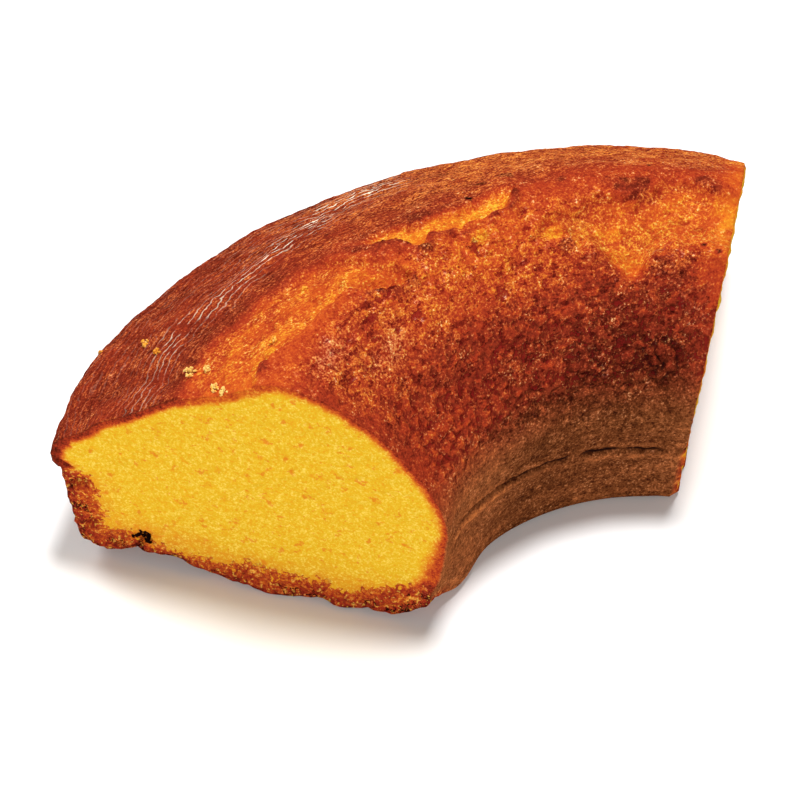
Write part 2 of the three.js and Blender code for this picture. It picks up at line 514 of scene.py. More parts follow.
@dataclass
class Crust:
    """The crust on a grid of columns round the ring by points of the section: its relief and browning."""

    section: Section
    ring: Ring
    grain: Grain
    columns: int
    lip_rise: float = 2.9
    step_height: float = 19.7
    step_rise: float = 3.6
    step_depth: float = 0.9
    split_depth: float = 1.3
    split_curl: float = 0.9
    wrinkle_pitch: float = 1.9
    wrinkle_height: float = 0.13
    pleat_pitch: float = 1.1
    right_wear: float = 1.2
    cut_swell: float = 0.9

    # Heights of the crust's relief, in millimetres
    rise_lump: float = 0.9
    rise_bump: float = 0.5
    fold_height: float = 0.55
    fold_grain: float = 0.25
    plate_height: float = 0.65
    ledge_height: float = 0.8
    pit_depth: float = 0.35
    ridge_height: float = 0.5
    scuff_height: float = 0.16
    crag_height: float = 0.9
    ragged_height: float = 1.8

    # Where the inner foot sags, and the radius up to which the base goes with it
    sag_depth: float = 2.1
    sag_angle: float = 23.0
    sag_spread: float = 8.5
    inner_half: float = 60.0

    # How much browner or paler the crust's features are than what is round them
    mottle_toast: float = 0.07
    scuff_toast: float = 0.1
    streak_toast: float = 0.14
    lobe_toast: float = 0.26
    rind_toast: float = 0.54
    # The groove and the crevices browner as painted shade, the ridge paler as painted light
    groove_toast: float = 0.16
    ridge_toast: float = 0.12
    crevice_toast: float = 0.1

    # The split's openings from the left cut to the right one
    openings: tuple[Opening, ...] = (
        Opening(
            ((11.5, 4), (12.5, 1.5), (13.5, -1), (14.5, -4), (15.2, -10), (16, -14), (18, -15), (21, -16.5),
             (25, -17.5), (30, -19), (35, -20), (46, -20)),
            ((11.5, 4), (12.2, 6), (13, 5), (14, 5.6), (16, 4.4), (17.5, 3.4), (18, 2), (19.4, 0.6),
             (20, -0.5), (22, -1.1), (25, -1), (29, -2), (31, -2.2), (34, -4), (36, -5.6), (38, -5),
             (46, -5)),
            2.6, 0.35, 0.52, 0.42,
        ),
        Opening(
            ((-10.5, -4), (-8, -5), (-4, -5), (0, -5), (3.5, -6), (5, -7), (5.4, -9), (6.5, -10), (8, -12),
             (10.4, -9.5), (11.8, -7.5)),
            ((-10.5, -4), (-9, -2.6), (-7, -0.2), (-4, 1), (-1, 1), (0.5, 2), (1.2, 0.8), (4, 0), (5, -0.5),
             (6, 0), (7, 1), (8, 0), (8.7, -2), (9.2, -3.5), (10.2, -4.4), (11, -5), (11.8, -7.5)),
            1.2, 0.35, 0.34, 0.28,
        ),
        Opening(
            ((-46, 2), (-40, 2), (-36, 3), (-33, -0.5), (-30, -0.5), (-28, 2), (-25, 4.6), (-20, 3.5),
             (-16, 5), (-12, 6), (-9, 8)),
            ((-46, 14.5), (-40, 14.5), (-38, 14), (-36, 13), (-34, 14), (-31, 13.3), (-29, 13.8),
             (-27.5, 14.5), (-26, 16), (-25, 18), (-24, 19.4), (-22.5, 19.6), (-20, 16), (-18.5, 14),
             (-17, 12.5), (-15.5, 13.5), (-14.5, 12), (-14, 9), (-12, 9.5), (-9, 8.5)),
            1.8, 1.8, 0.53, 0.44,
        ),
    )

    # Browning from the outer foot over the crest to the inner foot, at angles from the right to the left
    browning: tuple[tuple[float, Stations], ...] = (
        (-25, (
            (-80, 0.8), (-53, 0.74), (-30, 0.72), (-10, 0.71), (0, 0.61), (10, 0.55), (15, 0.62), (20, 0.7),
            (26, 0.79), (36, 0.85), (46, 0.83), (56, 0.83), (76, 0.82),
        )),
        (0, (
            (-80, 0.82), (-53, 0.8), (-40, 0.78), (-25, 0.74), (-12, 0.75), (-5, 0.7), (-2, 0.6), (3, 0.51),
            (9, 0.53), (13, 0.58), (16, 0.64), (20, 0.69), (28, 0.76), (36, 0.8), (44, 0.8), (56, 0.83),
            (76, 0.87),
        )),
        (25, (
            (-80, 0.82), (-53, 0.77), (-40, 0.75), (-30, 0.74), (-22, 0.76), (-18, 0.71), (-6, 0.58),
            (-1, 0.53), (1.5, 0.56), (3.5, 0.64), (8, 0.65), (16, 0.66), (24, 0.69), (34, 0.67), (44, 0.65),
            (56, 0.63), (76, 0.66),
        )),
    )

    # Darker and paler patches from the left cut to the right one
    spots: tuple[Spot, ...] = (
        Spot(36.5, -4.5, 1.6, 1.2, 0.15, 0.4),
        Spot(33.6, -5, 1.8, 1.4, -0.1, 0.3),
        Spot(21, -11, 0.9, 1.2, -0.1, 0.4),
        Spot(12.8, -6, 1.5, 6.0, 0.12),
        Spot(11, -1.5, 1.9, 2.0, 0.12, 0.5),
        Spot(8, 2.2, 2.2, 1.2, 0.14, 0.6),
        Spot(3.4, -8, 2.4, 3.0, 0.08),
        Spot(-0.6, 4.6, 2.0, 1.6, -0.13, 0.9),
        Spot(-3.9, -7.5, 0.42, 1.5, 0.45),
        Spot(-7.5, -13, 1.0, 2.0, 0.16),
        Spot(-11, -13, 1.2, 3.0, 0.16),
        Spot(-12, 7.8, 2.6, 1.4, -0.22),
        Spot(-13.3, 11, 1.8, 1.3, 0.14, 0.5),
        Spot(-15.8, -3.4, 0.9, 0.9, 0.14),
        Spot(-16.8, 14.2, 1.6, 1.2, 0.1, 0.5),
        Spot(-22.5, -0.5, 3.0, 1.6, 0.1),
        Spot(-20.5, 10.5, 3.6, 1.4, -0.15),
        Spot(-25.5, 1.4, 4.2, 2.6, 0.18),
        Spot(-28.5, -7.5, 0.3, 1.0, 0.35),
        Spot(-29.5, 17, 4.2, 2.2, 0.08, 0.8),
        Spot(-35.2, 12.9, 0.6, 0.35, 0.45),
        Spot(-35.5, 0.5, 3.0, 2.0, 0.16),
        Spot(-37.8, 14, 0.7, 0.4, 0.45),
        Spot(-39.5, 6, 3.8, 4.0, -0.2),
    )

    # How far the lip swells outwards, by angle
    lip_swell: Stations = (
        (-46, -2.4), (-40, -1.2), (-35, 0.6), (-30, 1.1), (-20, 0.9), (-13, 0.3), (-4, 0.2), (2, 0.3),
        (6, 1), (10, 1.4), (18, 1.4), (22, 1.7), (25, 2.2), (30, 2.4), (35, 1.6), (39, 0.7), (41.3, 0),
    )

    # The base's broken edge at the left cut, by distance along it: its height, and how far it stands out
    base_edge: Stations = (
        (44, 4), (48.5, 4.6), (50, 3.8), (52, 1.6), (54.5, 1), (64, 0.5), (67, 0.4), (69, 0.9), (72, 0),
        (87, 0), (90.6, 0.4), (94, 1.6), (97.5, 3.4), (103, 3), (104.6, 3.4), (105.4, 4.8), (106, 3.2),
        (109.7, 1.4), (112.5, 1), (118, 1.2),
    )
    base_proud: Stations = (
        (45, 0), (50, 0.4), (56, 1), (60, 0.5), (65, 1.5), (68, 0.6), (73, 0.7), (78, 1.5), (83, 1),
        (88, 0),
    )

    # Larger open pores of the inner side: angle, distance past the crest, and half length and width
    pores: tuple[tuple[float, float, float, float], ...] = (
        (32, 11, 1.3, 0.5), (29.5, 6, 0.7, 0.6), (29, 11.5, 0.7, 0.7), (28, 9, 0.7, 0.6),
        (27.3, 6, 0.5, 0.5), (24, 9.6, 0.8, 0.6), (21.5, 6.5, 1.3, 1.0), (19.5, 11, 0.8, 1.0),
        (18.7, 5, 0.6, 1.0), (15.5, 11.5, 1.6, 0.6), (1.0, 6.4, 0.9, 1.7), (0.5, 16, 1.5, 1.2),
        (-7.5, 17, 0.8, 1.2),
    )

    # Where the slope's wrinkles shine, with the coat and with a painted highlight on their crests: angle,
    # and distance past the crest
    sheen: Stations = (
        (-6, -46), (0, -43), (4, -40), (9, -34), (13, -31), (20, -29.5), (25, -29), (29, -32), (38, -30.5),
    )

    def shape(self) -> None:
        """Works out the places and values of the whole grid."""
        trace = self.section.trace()
        self.trace = trace
        self.share = np.linspace(0.0, 1.0, self.columns + 1)[:, None]
        size = (self.columns + 1, len(trace.radius))
        self.radius = np.broadcast_to(trace.radius, size)
        self.height = np.broadcast_to(trace.height, size)
        self.past = np.broadcast_to(trace.past_crest, size)
        self.zone = np.broadcast_to(trace.zone, size)
        self.angle = self.ring.angle(self.radius, self.share)
        self.points = self.ring.place(self.radius, self.height, self.share)
        self.from_left = np.radians(self.ring.left.meets(self.radius) - self.angle) * self.radius
        self.from_right = np.radians(self.angle - self.ring.right.meets(self.radius)) * self.radius
        around = np.radians(self.angle) * self.section.crest_radius
        self.skin = np.stack([around, self.past, np.zeros(size)], axis=-1)
        self.upright = np.isin(self.zone, (Zone.BASE, Zone.OUTER_FOOT, Zone.INNER_FOOT), invert=True)
        self.relief = np.zeros(size)
        self.toast = np.zeros(size)
        self._rise()
        self._split()
        self._wrinkle()
        self._flake()
        self._tin_step()
        self._brown()
        self._settle()

    def _rise(self) -> None:
        """Lumps of uneven rising, low on the tin's walls, and a swell beside the left cut."""
        points, grain = self.points, self.grain
        lumps = self.rise_lump * grain.lumps(points, 17.0) + self.rise_bump * grain.lumps(points + 9, 7.0)
        above_tin = blend(0.25, 1.0, step(self.height, 24.0, 36.0))
        self.relief += lumps * above_tin * step(self.height, 0.0, 9.0)
        outer = step(-self.past, 14.0, 22.0) * (1 - step(-self.past, 36.0, 48.0))
        inner = step(self.past, 12.0, 24.0) * (1 - step(self.past, 58.0, 70.0))
        self.relief += self.cut_swell * (outer + inner) * (1 - step(self.from_left, 0.0, 10.0))

    def _split(self) -> None:
        """The openings along the crest: sunk, rough and torn, with lobes of crust at their edges."""
        points, grain = self.points, self.grain
        ragged = 0.5 * grain.lumps(points, 6.0) + 0.8 * grain.lumps(points + 40, 2.6)
        ragged = ragged + 0.6 * grain.lumps(points + 22, 1.4)
        self.torn, self.torn_toast, self.lobes, self.rind = (np.zeros_like(self.past) for _ in range(4))
        self.pleats = np.full_like(self.past, -np.inf)
        clear = blend(0.25, 1.0, step(self.from_left, 0.0, 22.0))
        for opening in self.openings:
            outer_edge = along_stations(self.angle, opening.outer)
            inner_edge = along_stations(self.angle, opening.inner)
            width = inner_edge - outer_edge
            outer, inner = self.past - outer_edge - ragged, inner_edge + ragged - self.past
            here = step(width, 0.2, 2.0)
            torn = step(outer, -opening.outer_soft, opening.outer_soft) * here
            torn = torn * step(inner, -0.5 * opening.inner_soft, opening.inner_soft)
            lobes = bell(inner + 1.2, 1.1) * here * step(grain.lumps(points + 66, 3.6), -0.5, 0.2)
            lobes = lobes / (0.65 + opening.inner_soft)
            lobes = np.maximum(lobes, 0.35 * bell(outer + 1.0, 1.2) * here / opening.outer_soft)
            across = step(1 - inner / np.maximum(width, 1), 0.2, 0.9)
            level = blend(opening.outer_toast, opening.inner_toast, across)
            self.relief += (self.split_curl * lobes - self.split_depth * torn) * clear
            self.torn_toast = np.where(torn > self.torn, level, self.torn_toast)
            self.torn = np.maximum(self.torn, torn)
            self.lobes = np.maximum(self.lobes, lobes)
            rind = here * step(-inner, 0.0, 0.4) * (1 - step(-inner, 2.4, 3.6))
            self.rind = np.maximum(self.rind, rind)
            self.pleats = np.maximum(self.pleats, np.where(here > 0, inner, -np.inf))
        self.rind = self.rind * step(self.angle, 19.0, 23.0)
        folded = grain.warped(points, 5.0, 2.0) * np.array([1.0, 1.0, 0.6])
        folds = self.fold_height * grain.layers(folded + 5, 3.4, 3, 0.6)
        self.relief += (folds + self.fold_grain * grain.lumps(points + 87, 1.6)) * self.torn

    def _wrinkle(self) -> None:
        """Fine wrinkles of dried skin on the outer slope and by the far opening, and their shine and
        painted highlight.
        """
        points, grain = self.points, self.grain
        on_slope = np.isin(self.zone, (Zone.SLOPE, Zone.LIP))
        self.slope = step(-self.past, 12.0, 20.0) * (1 - self.torn) * on_slope
        warp = self.past + 1.8 * grain.lumps(points + 3, 12.0) + 0.4 * grain.lumps(points + 8, 3.6)
        pleated = step(-self.angle, 13.0, 16.0) * step(self.pleats, 0.2, 1.0)
        pleated = pleated * (1 - step(self.pleats, 4.0, 6.0))
        along_edge = np.maximum(self.pleats, 0.0) + 0.5 * grain.lumps(points + 8, 4.0)
        self.phase = np.where(pleated > 0, along_edge / self.pleat_pitch, warp / self.wrinkle_pitch)
        ridge = (0.5 + 0.5 * np.sin(math.tau * self.phase)) ** 2
        patch = step(grain.layers(points + 21, 9.0, 2), -0.3, 0.2)
        band = blend(5.4, 3.6, step(self.angle, 6.0, 16.0))
        # The band where the wrinkles shine: by the coat, and by a highlight painted on their crests
        lit = bell(self.past - along_stations(self.angle, self.sheen), band)
        lit = np.maximum(lit, 0.09 * step(-self.past, 22.0, 30.0)) * step(self.angle, -9.0, 0.0)
        lit = lit * blend(1.3, 0.6, step(self.angle, 10.0, 23.0))
        self.gloss = self.slope * lit * blend(0.4, 1.0, patch) + 0.3 * pleated * self.torn
        self.relief += self.wrinkle_height * ridge * (patch * self.slope + pleated * self.torn)

    def _flake(self) -> None:
        """Flakes, ledges and open pores of the inner side, where the thin skin has broken up."""
        points, grain = self.points, self.grain
        self.flaky = step(self.past, -2.0, 5.0) * (1 - step(self.past, 40.0, 47.0)) * (1 - self.torn)
        moved = grain.warped(points, 2.2, 1.3)
        low = step(self.past, 14.0, 24.0)
        plates = 1.0 - 2.0 * np.abs(grain.layers(moved + 2, 4.4, 3, 0.6))
        drawn = grain.warped(self.skin, 3.0, 1.2) * np.array([0.55, 1.0, 1.0])
        ledges = np.abs(grain.layers(drawn + 12, 2.8, 3, 0.6)) * 2.0
        clear = step(self.from_left, 2.0, 7.0) * (1 - step(self.past, 36.0, 44.0))
        small = grain.pits(moved + 31, 2.6, 0.3, 0.08, 0.3) * blend(1.0, 0.5, low)
        small = small * step(self.flaky, 0.2, 0.8)
        self.pits = np.maximum(0.8 * small * clear, self._pores(moved))
        # Crevices between the ledges, which the browning darkens as painted shade
        self.crevice = self.flaky * low * clear * (1 - step(ledges, 0.05, 0.3))
        upper = self.plate_height * plates * (1 - low)
        lower = self.ledge_height * np.minimum(ledges, 0.8) * low * clear
        self.relief += self.flaky * (upper + lower)
        fine = 0.05 + 0.14 * self.flaky + 0.14 * self.torn + 0.18 * self.slope
        self.relief += fine * grain.layers(points + 13, 1.7, 2) * self.upright - self.pit_depth * self.pits

    def _pores(self, moved: Array) -> Array:
        """The larger pores: 1 in their middles, fading past their uneven edges.

        Args:
            moved: Places of the grid, pushed about.

        Returns:
            1 in the pores' middles, 0 away from them.
        """
        wobble = self.grain.layers(moved + 91, 1.3, 2)
        total = np.zeros_like(self.past)
        for angle, past, length, width in self.pores:
            x = (self.skin[..., 0] - math.radians(angle) * self.section.crest_radius) / length
            y = (self.past - past) / width
            total = np.maximum(total, 1 - step(np.hypot(x, y) + 1.1 * wobble, 0.5, 1.4))
        return total

    def _tin_step(self) -> None:
        """The step line that the tin left on the inner wall, a groove with a low broken ridge under it."""
        grain, points = self.grain, self.points
        line = self.height - self.step_height - self.step_rise * self.angle / self.ring.left.angle
        line = line - 0.7 * grain.layers(points + 6, 8.0, 2) - 0.6 * grain.layers(points + 16, 2.4, 2)
        self.wall = step(self.past, 33.0, 49.0) * self.upright
        open_here = step(grain.layers(points + 51, 5.0, 2), -0.55, -0.1)
        open_here = open_here * step(self.from_left, 1.0, 6.0)
        self.groove = bell(line, 0.6) * self.wall * open_here
        whole_here = step(grain.layers(points + 77, 4.0, 2), -0.5, 0.1)
        self.ridge = bell(line + 1.5, 1.1) * self.wall * whole_here * step(self.from_left, 1.0, 6.0)
        self.relief += self.ridge_height * self.ridge - self.step_depth * self.groove
        self.scuffs = grain.layers(self.skin * np.array([0.12, 1.0, 1.0]) + 15, 2.0, 3, 0.6) * self.wall
        self.relief += self.scuff_height * self.scuffs

    def _brown(self) -> None:
        """How brown each point is: by its place, its relief and the spots."""
        points, grain = self.points, self.grain
        angles = [angle for angle, _ in self.browning]
        levels = [along_stations(self.past, stations) for _, stations in self.browning]
        toast = blend(levels[0], levels[1], step(self.angle, angles[0], angles[1]))
        toast = blend(toast, levels[2], step(self.angle, angles[1], angles[2]))
        mottle = self.mottle_toast * grain.layers(points + 71, 9.0, 3)
        toast = toast + mottle - self.scuff_toast * self.scuffs
        streaks = grain.layers(self.skin * np.array([0.35, 1.0, 1.0]) + 33, 3.4, 3, 0.6)
        torn_toast = self.torn_toast + self.streak_toast * streaks
        torn_toast = torn_toast + self.mottle_toast * grain.layers(points + 19, 7.0, 2)
        toast = blend(toast + self.lobe_toast * self.lobes, self.rind_toast, 0.7 * self.rind)
        toast = blend(toast, torn_toast, self.torn)
        # Painted shade: the groove and the crevices browner; painted light: the ridge paler
        toast = toast + self.groove_toast * self.groove - self.ridge_toast * self.ridge
        toast = toast + self.crevice_toast * self.crevice
        paler = 0.1 + 0.12 * step(-self.past, -4.0, 6.0)
        toast = toast - paler * bell(self.from_right, 3.5) * (1 - self.torn)
        around = self.skin[..., 0]
        wobble = grain.layers(points + 91, 2.6, 2)
        for spot in self.spots:
            x = (around - math.radians(spot.angle) * self.section.crest_radius) / spot.length
            y = (self.past - spot.past) / spot.width
            patch = 1 - step(np.hypot(x, y) + 0.8 * wobble, 0.6, 1.2)
            toast = toast + spot.toast * patch
            self.relief = self.relief + spot.rise * patch * (1.0 + 0.9 * wobble)
        self.toast = toast

    def _broken(self) -> Array:
        """Where the crust has broken up low beside the left cut: on the outer wall and round the base.

        Returns:
            1 where it is broken, fading upwards and away from the cut.
        """
        inner = np.isin(self.zone, (Zone.INNER_WALL, Zone.INNER_FOOT))
        low = np.where(inner, 1 - step(self.height, 2.0, 6.0), 1 - step(self.height, 17.0, 25.0))
        return low * (1 - step(self.from_left, 1.0, 8.0))

    def _base_lift(self) -> tuple[Array, Array]:
        """How far the base has lifted near the left cut, and the ragged edge of its broken crust.

        Returns:
            Both in millimetres, fading upwards.
        """
        lift = along_stations(self.ring.left.along(self.radius), self.base_edge)
        lift = lift * (1 - step(self.from_left, 0, 10))
        ragged = np.maximum(self.grain.layers(self.points + 36, 2.8, 3, 0.75) + 0.1, 0.0)
        ragged = self.ragged_height * ragged * (1 - step(self.from_left, 0, 3))
        fade = np.clip(1.0 - self.height / 12.0, 0.0, 1.0)
        return lift * fade, ragged * fade

    def _settle(self) -> None:
        """Moves the grid by the relief and the larger swings, and keeps the values for the finish."""
        section, trace = self.section, self.trace
        radius, height = self.radius, self.height
        outer = np.isin(self.zone, (Zone.OUTER_WALL, Zone.LIP, Zone.SLOPE))
        rim = section.rim[1]
        under_crest = (section.crest_height - height) / (section.crest_height - rim)
        near_rim = np.where(outer, np.minimum(height / rim, under_crest), 0.0)
        sway = self.lip_rise * near_rim * self.angle / self.ring.left.angle
        inner = np.isin(self.zone, (Zone.INNER_WALL, Zone.INNER_FOOT))
        inner = inner | (radius < self.inner_half) & ~self.upright
        sag = self.sag_depth * bell(self.angle - self.sag_angle, self.sag_spread) * bell(height - 2.0, 9.0)
        sag = np.where(inner, sag, 0.0)
        lift, ragged = self._base_lift()
        plain_radius = radius + along_stations(self.angle, self.lip_swell) * near_rim - sag
        plain_height = height + sway + lift
        self.outline = self.ring.place(plain_radius, plain_height, self.share)

        broken = self._broken()
        crags = self.grain.layers(self.points + 57, 2.6, 3, 0.7)
        relief = np.where(self.upright, self.relief, 0.0)
        relief = relief + self.crag_height * broken * crags * step(height, 0.0, 2.0)
        new_height = np.maximum(plain_height + relief * trace.out_z + ragged, 0.0)
        self.places = self.ring.place(plain_radius + relief * trace.out_r, new_height, self.share)
        worn = np.where(inner, self.right_wear * (1 - step(height, 13.0, 21.0)), 0.0)
        worn = worn * (1 - step(self.from_right, 0.0, 7.0))
        self.places -= worn[..., None] * self.ring.right.outward
        self.places[-1] += self.stands_out(self.radius[-1], height[-1])[:, None] * self.ring.left.outward

        fine = np.clip((relief - blur(relief, 4)) / 0.35, -1.0, 1.0)
        toast = self.toast - 0.05 * fine
        tin = np.maximum(self.wall, (~self.upright | (self.zone == Zone.OUTER_WALL)) * 1.0) * (1 - broken)
        trimmed = np.maximum(step(np.minimum(self.from_left, self.from_right), 1.0, 6.0), self.slope)
        flaky = self.flaky + 0.5 * self.torn + 0.3 * self.slope + 0.3 * tin
        self.values = {
            Look.TOAST: toast,
            Look.TORN: self.torn,
            Look.TIN: tin,
            Look.GLOSS: self.gloss,
            Look.BLOOM: np.clip(self._bloom(), 0.0, 1.0),
            Look.FLECKS: blend(0.28, self._flecked(tin), trimmed),
            Look.GRAINY: 0.06 + 0.06 * tin,
            # Pits and crevices, darkened in the finish as painted shade
            Look.PIT: np.maximum(self.pits, 0.6 * self.crevice),
            Look.CRUMB: np.zeros_like(toast),
            Look.PHASE: self.phase,
            Look.SLOPE: self.slope,
            Look.SKIN: self.skin * np.array([0.5, 1.0, 1.0]) * MM,
            Look.BURNT: broken,
            Look.SCORCH: 0.68 - 0.2 * crags,
            Look.FLAKY: blend(0.3, 1.0, trimmed) * flaky,
        }

    def stands_out(self, radius: Array, height: Array) -> Array:
        """How far the broken base stands out of the left cut, most at the very bottom."""
        proud = along_stations(self.ring.left.along(radius), self.base_proud)
        return proud * np.clip(1.0 - height / 7.0, 0.0, 1.0)

    def _flecked(self, tin: Array) -> Array:
        """How thickly flecks of dry skin lie: most on the upper inner side and the far slope.

        Args:
            tin: Where the crust was baked against the tin, from 0 to 1.

        Returns:
            A share for each point of the grid.
        """
        upper = self.flaky * (1 - step(self.past, 12.0, 26.0))
        flecks = 0.34 + 0.26 * upper + 0.2 * self.torn - 0.1 * self.rind + 0.2 * self._bloom()
        far_top = (self.zone == Zone.SLOPE) * step(-self.past, 2.0, 10.0)
        far_top = far_top * (1 - step(self.angle, -12.0, 24.0))
        return flecks - 0.04 * tin + 0.1 * self.slope + 0.38 * far_top * (1 - self.torn)

    def _bloom(self) -> Array:
        """Patches where the broken skin is driest and palest.

        Returns:
            A sum of bell-shaped patches, 1 in the middle of the palest.
        """
        front = bell(self.angle - 31.0, 4.0) * bell(self.past - 5.0, 2.6)
        middle = 0.7 * bell(self.angle - 23.0, 5.0) * bell(self.past - 13.0, 3.0)
        back = 0.8 * bell(self.angle + 22.0, 6.0) * bell(self.past - 12.0, 2.0)
        return front + middle + back

    def at(self, angle: float, past: float) -> tuple[Array, Array]:
        """The crust's place and outward direction nearest an angle and a distance past the crest.

        Args:
            angle: Degrees from the middle of the piece.
            past: Millimetres past the crest.

        Returns:
            Place in millimetres and unit normal.
        """
        row = int(np.argmin(np.abs(self.trace.past_crest - past)))
        column = int(np.argmin(np.abs(self.angle[:, row] - angle)))
        turn = math.radians(angle)
        radial = np.array([-math.sin(turn), math.cos(turn), 0.0])
        normal = radial * self.trace.out_r[row] + np.array([0.0, 0.0, self.trace.out_z[row]])
        return self.places[column, row], normal


@dataclass
class CutFace:
    """The crumb of a cut: loops that shrink from the crust's edge to the middle of the section.

    tear is how rough the cut is beside the crust and middle_rough how rough it is inside, both as shares
    of the left cut's. browned is how deep the crust's browning reaches, as such a share, and warmth is
    the least browning of the crumb.
    """

    crust: Crust
    cut: Cut
    column: int
    loops: int
    tear: float
    browned: float
    middle_rough: float
    warmth: float
    middle: tuple[float, float] = (84.0, 29.0)
    hole: tuple[float, float] = (103.7, 8.0)
    hole_size: tuple[float, float] = (1.7, 1.1)
    crack_width: float = 0.3
    gap_depth: float = 2.4

    # Heights of the crumb's relief, in millimetres
    crumb_height: float = 0.25
    pore_depth: float = 0.15
    crag_lift: float = 0.2
    proud_height: float = 0.9
    upper_proud: float = 0.4
    base_gap: float = 0.05

    # How much closer the loops lie beside the crust than in the middle
    loop_power: float = 1.2

    # How far the right cut's patterns lie from the left one's
    pattern_shift: float = 500.0

    # How thick the broken crust is, by distance along the cut
    base_thickness: Stations = (
        (48, 6), (54, 7), (58, 5.5), (64, 4), (72, 5), (84, 5), (91, 2.6), (96, 1), (100, 1.6), (104, 3),
        (110, 5.5),
    )

    # Cracks of the left cut's crust: distances along the cut and heights that each runs through
    cracks: tuple[Stations, ...] = (
        ((119.8, 26.5), (117.7, 25.0)),
        ((117.7, 19.6), (116.0, 21.4), (115.2, 20.6)),
        ((115.4, 7.3), (114.3, 8.6), (113.1, 10.3)),
        ((109.8, 3.8), (108.5, 4.9)),
        ((103.7, 8.0), (105.3, 4.0)),
        ((103.7, 7.8), (101.4, 7.4)),
    )

    def shape(self) -> tuple[Array, dict[Look, Array]]:
        """Works out the inner loops and the middle.

        Returns:
            Vertices in millimetres, loop after loop with the middle last, and the values on them.
        """
        crust, cut = self.crust, self.cut
        axis = np.array([*crust.ring.axis, 0.0])
        edge = self._section_points(crust.places[self.column])
        plain = self._section_points(crust.outline[self.column])
        turn, is_left = math.radians(cut.angle), cut is crust.ring.left
        forward = np.array([-math.sin(turn), math.cos(turn), 0.0])
        outward = cut.outward
        middle = np.array(self.middle)
        share = np.linspace(0.0, 1.0, self.loops + 1)[1:-1, None, None]
        rim = blend(edge, plain, step(share, 0.0, 0.2))
        spread = middle + (rim - middle) * (1.0 - share**self.loop_power)
        self.spread = np.concatenate([spread.reshape(-1, 2), middle[None]])
        points = axis + forward * self.spread[:, :1] - outward * cut.inset
        points[:, 2] = self.spread[:, 1]

        gaps = np.linalg.norm(self.spread[:, None] - edge[None], axis=2)
        nearest = np.argmin(gaps, axis=1)
        self.depth = gaps[np.arange(len(nearest)), nearest]
        self.zone = crust.trace.zone[nearest]
        toast, burnt, scorch = self._brown(points, crust.values[Look.TOAST][self.column][nearest])

        relief = self._relief(points, burnt)
        if is_left:
            relief = relief + crust.stands_out(self.spread[:, 0], self.spread[:, 1])
            relief = relief - self.gap_depth * self._gap()
        points = points + outward * relief[:, None]
        points[:, 2] = np.maximum(points[:, 2], self.base_gap)

        none = np.zeros(len(points))
        shift = none if is_left else none + self.pattern_shift
        flat = np.stack([self.spread[:, 0], self.spread[:, 1], shift], axis=-1)
        return points, {
            Look.TOAST: toast,
            Look.TORN: none + 1.0,
            Look.TIN: none,
            Look.GLOSS: none,
            Look.BLOOM: none,
            Look.FLECKS: 0.3 * burnt,
            Look.GRAINY: 0.01 + 0.5 * toast * (1 - toast),
            Look.PIT: none,
            Look.CRUMB: 1.0 - np.clip(2.0 * toast, 0.0, 1.0),
            Look.PHASE: none,
            Look.SLOPE: none,
            Look.SKIN: flat * MM,
            Look.BURNT: burnt,
            Look.SCORCH: scorch,
            Look.FLAKY: 0.4 * burnt,
        }

    def _relief(self, points: Array, burnt: Array) -> Array:
        """How far the crumb stands out of the cut's plane: grains, pores, crags and torn edges.

        Args:
            points: Places on the cut, in millimetres.
            burnt: Where there is broken crust, from 0 to 1.

        Returns:
            Millimetres, none at the very edge.
        """
        grain = self.crust.grain
        pores = grain.pits(points + 19, 1.5, 0.7, 0.05, 0.5)
        rough = self.crumb_height * grain.layers(points + 27, 4.0, 3, 0.65) - self.pore_depth * pores
        crags = grain.layers(points + 44, 2.8, 3, 0.65) + self.crag_lift
        torn = (self.tear - 1.0) * (1 - step(self.depth, 2.5, 8.0))
        upper = self.upper_proud * step(self.spread[:, 1], 20.0, 44.0)
        proud = torn * (self.proud_height * grain.layers(points + 63, 3.0, 2) + upper)
        rough = rough * (self.middle_rough + torn) + burnt * crags + proud
        return rough * step(self.depth, 0.0, 0.9)

    def _section_points(self, rim: Array) -> Array:
        """Points of the cut's edge as distances along the cut and heights."""
        away = np.sum(np.square(rim[:, :2] - np.array(self.crust.ring.axis)), axis=1)
        return np.stack([np.sqrt(away - self.cut.inset**2), rim[:, 2]], axis=1)

    def _brown(self, points: Array, crust_toast: Array) -> tuple[Array, Array, Array]:
        """Browning from the crust inwards, and the broken crust along the base.

        Args:
            points: Places on the cut, in millimetres.
            crust_toast: Browning of the nearest crust.

        Returns:
            Browning of the crumb, where there is broken crust instead, and how brown that is.
        """
        grain, (along, height) = self.crust.grain, self.spread.T
        depth = self.depth + 0.3 * grain.layers(points + 88, 1.6, 2)
        low = np.isin(self.zone, (Zone.BASE, Zone.OUTER_FOOT, Zone.INNER_FOOT)) * 1.0
        low = np.maximum(low, (self.zone == Zone.OUTER_WALL) * (1 - step(height, 21.0, 27.0)))
        is_left = self.cut is self.crust.ring.left
        low = np.maximum(low, (self.zone == Zone.INNER_WALL) * (1 - step(height, 7.0, 14.0)) * is_left)
        thick = along_stations(along, self.base_thickness) + 2.4 * grain.layers(points + 7, 4.4, 3, 0.65)
        burnt = low * (1 - step(depth, thick - 3.0, thick + 4.0))
        zones = [Zone.INNER_WALL, Zone.SHOULDER, Zone.SLOPE, Zone.LIP]
        near_foot = 1 - step(height, 8.0, 31.0)
        inner_hold, inner_reach = blend(0.3, 1.8, near_foot), blend(2.8, 5.8, near_foot)
        found = [self.zone == zone for zone in zones]
        hold = np.select(found, [inner_hold, 0.2, 0.9, 1.4], 0.2) * self.browned
        reach = np.select(found, [inner_reach, 2.6, 2.6, 3.4], 1.6) * self.browned
        ragged = depth + 0.8 * near_foot * grain.layers(points + 52, 1.5, 2)
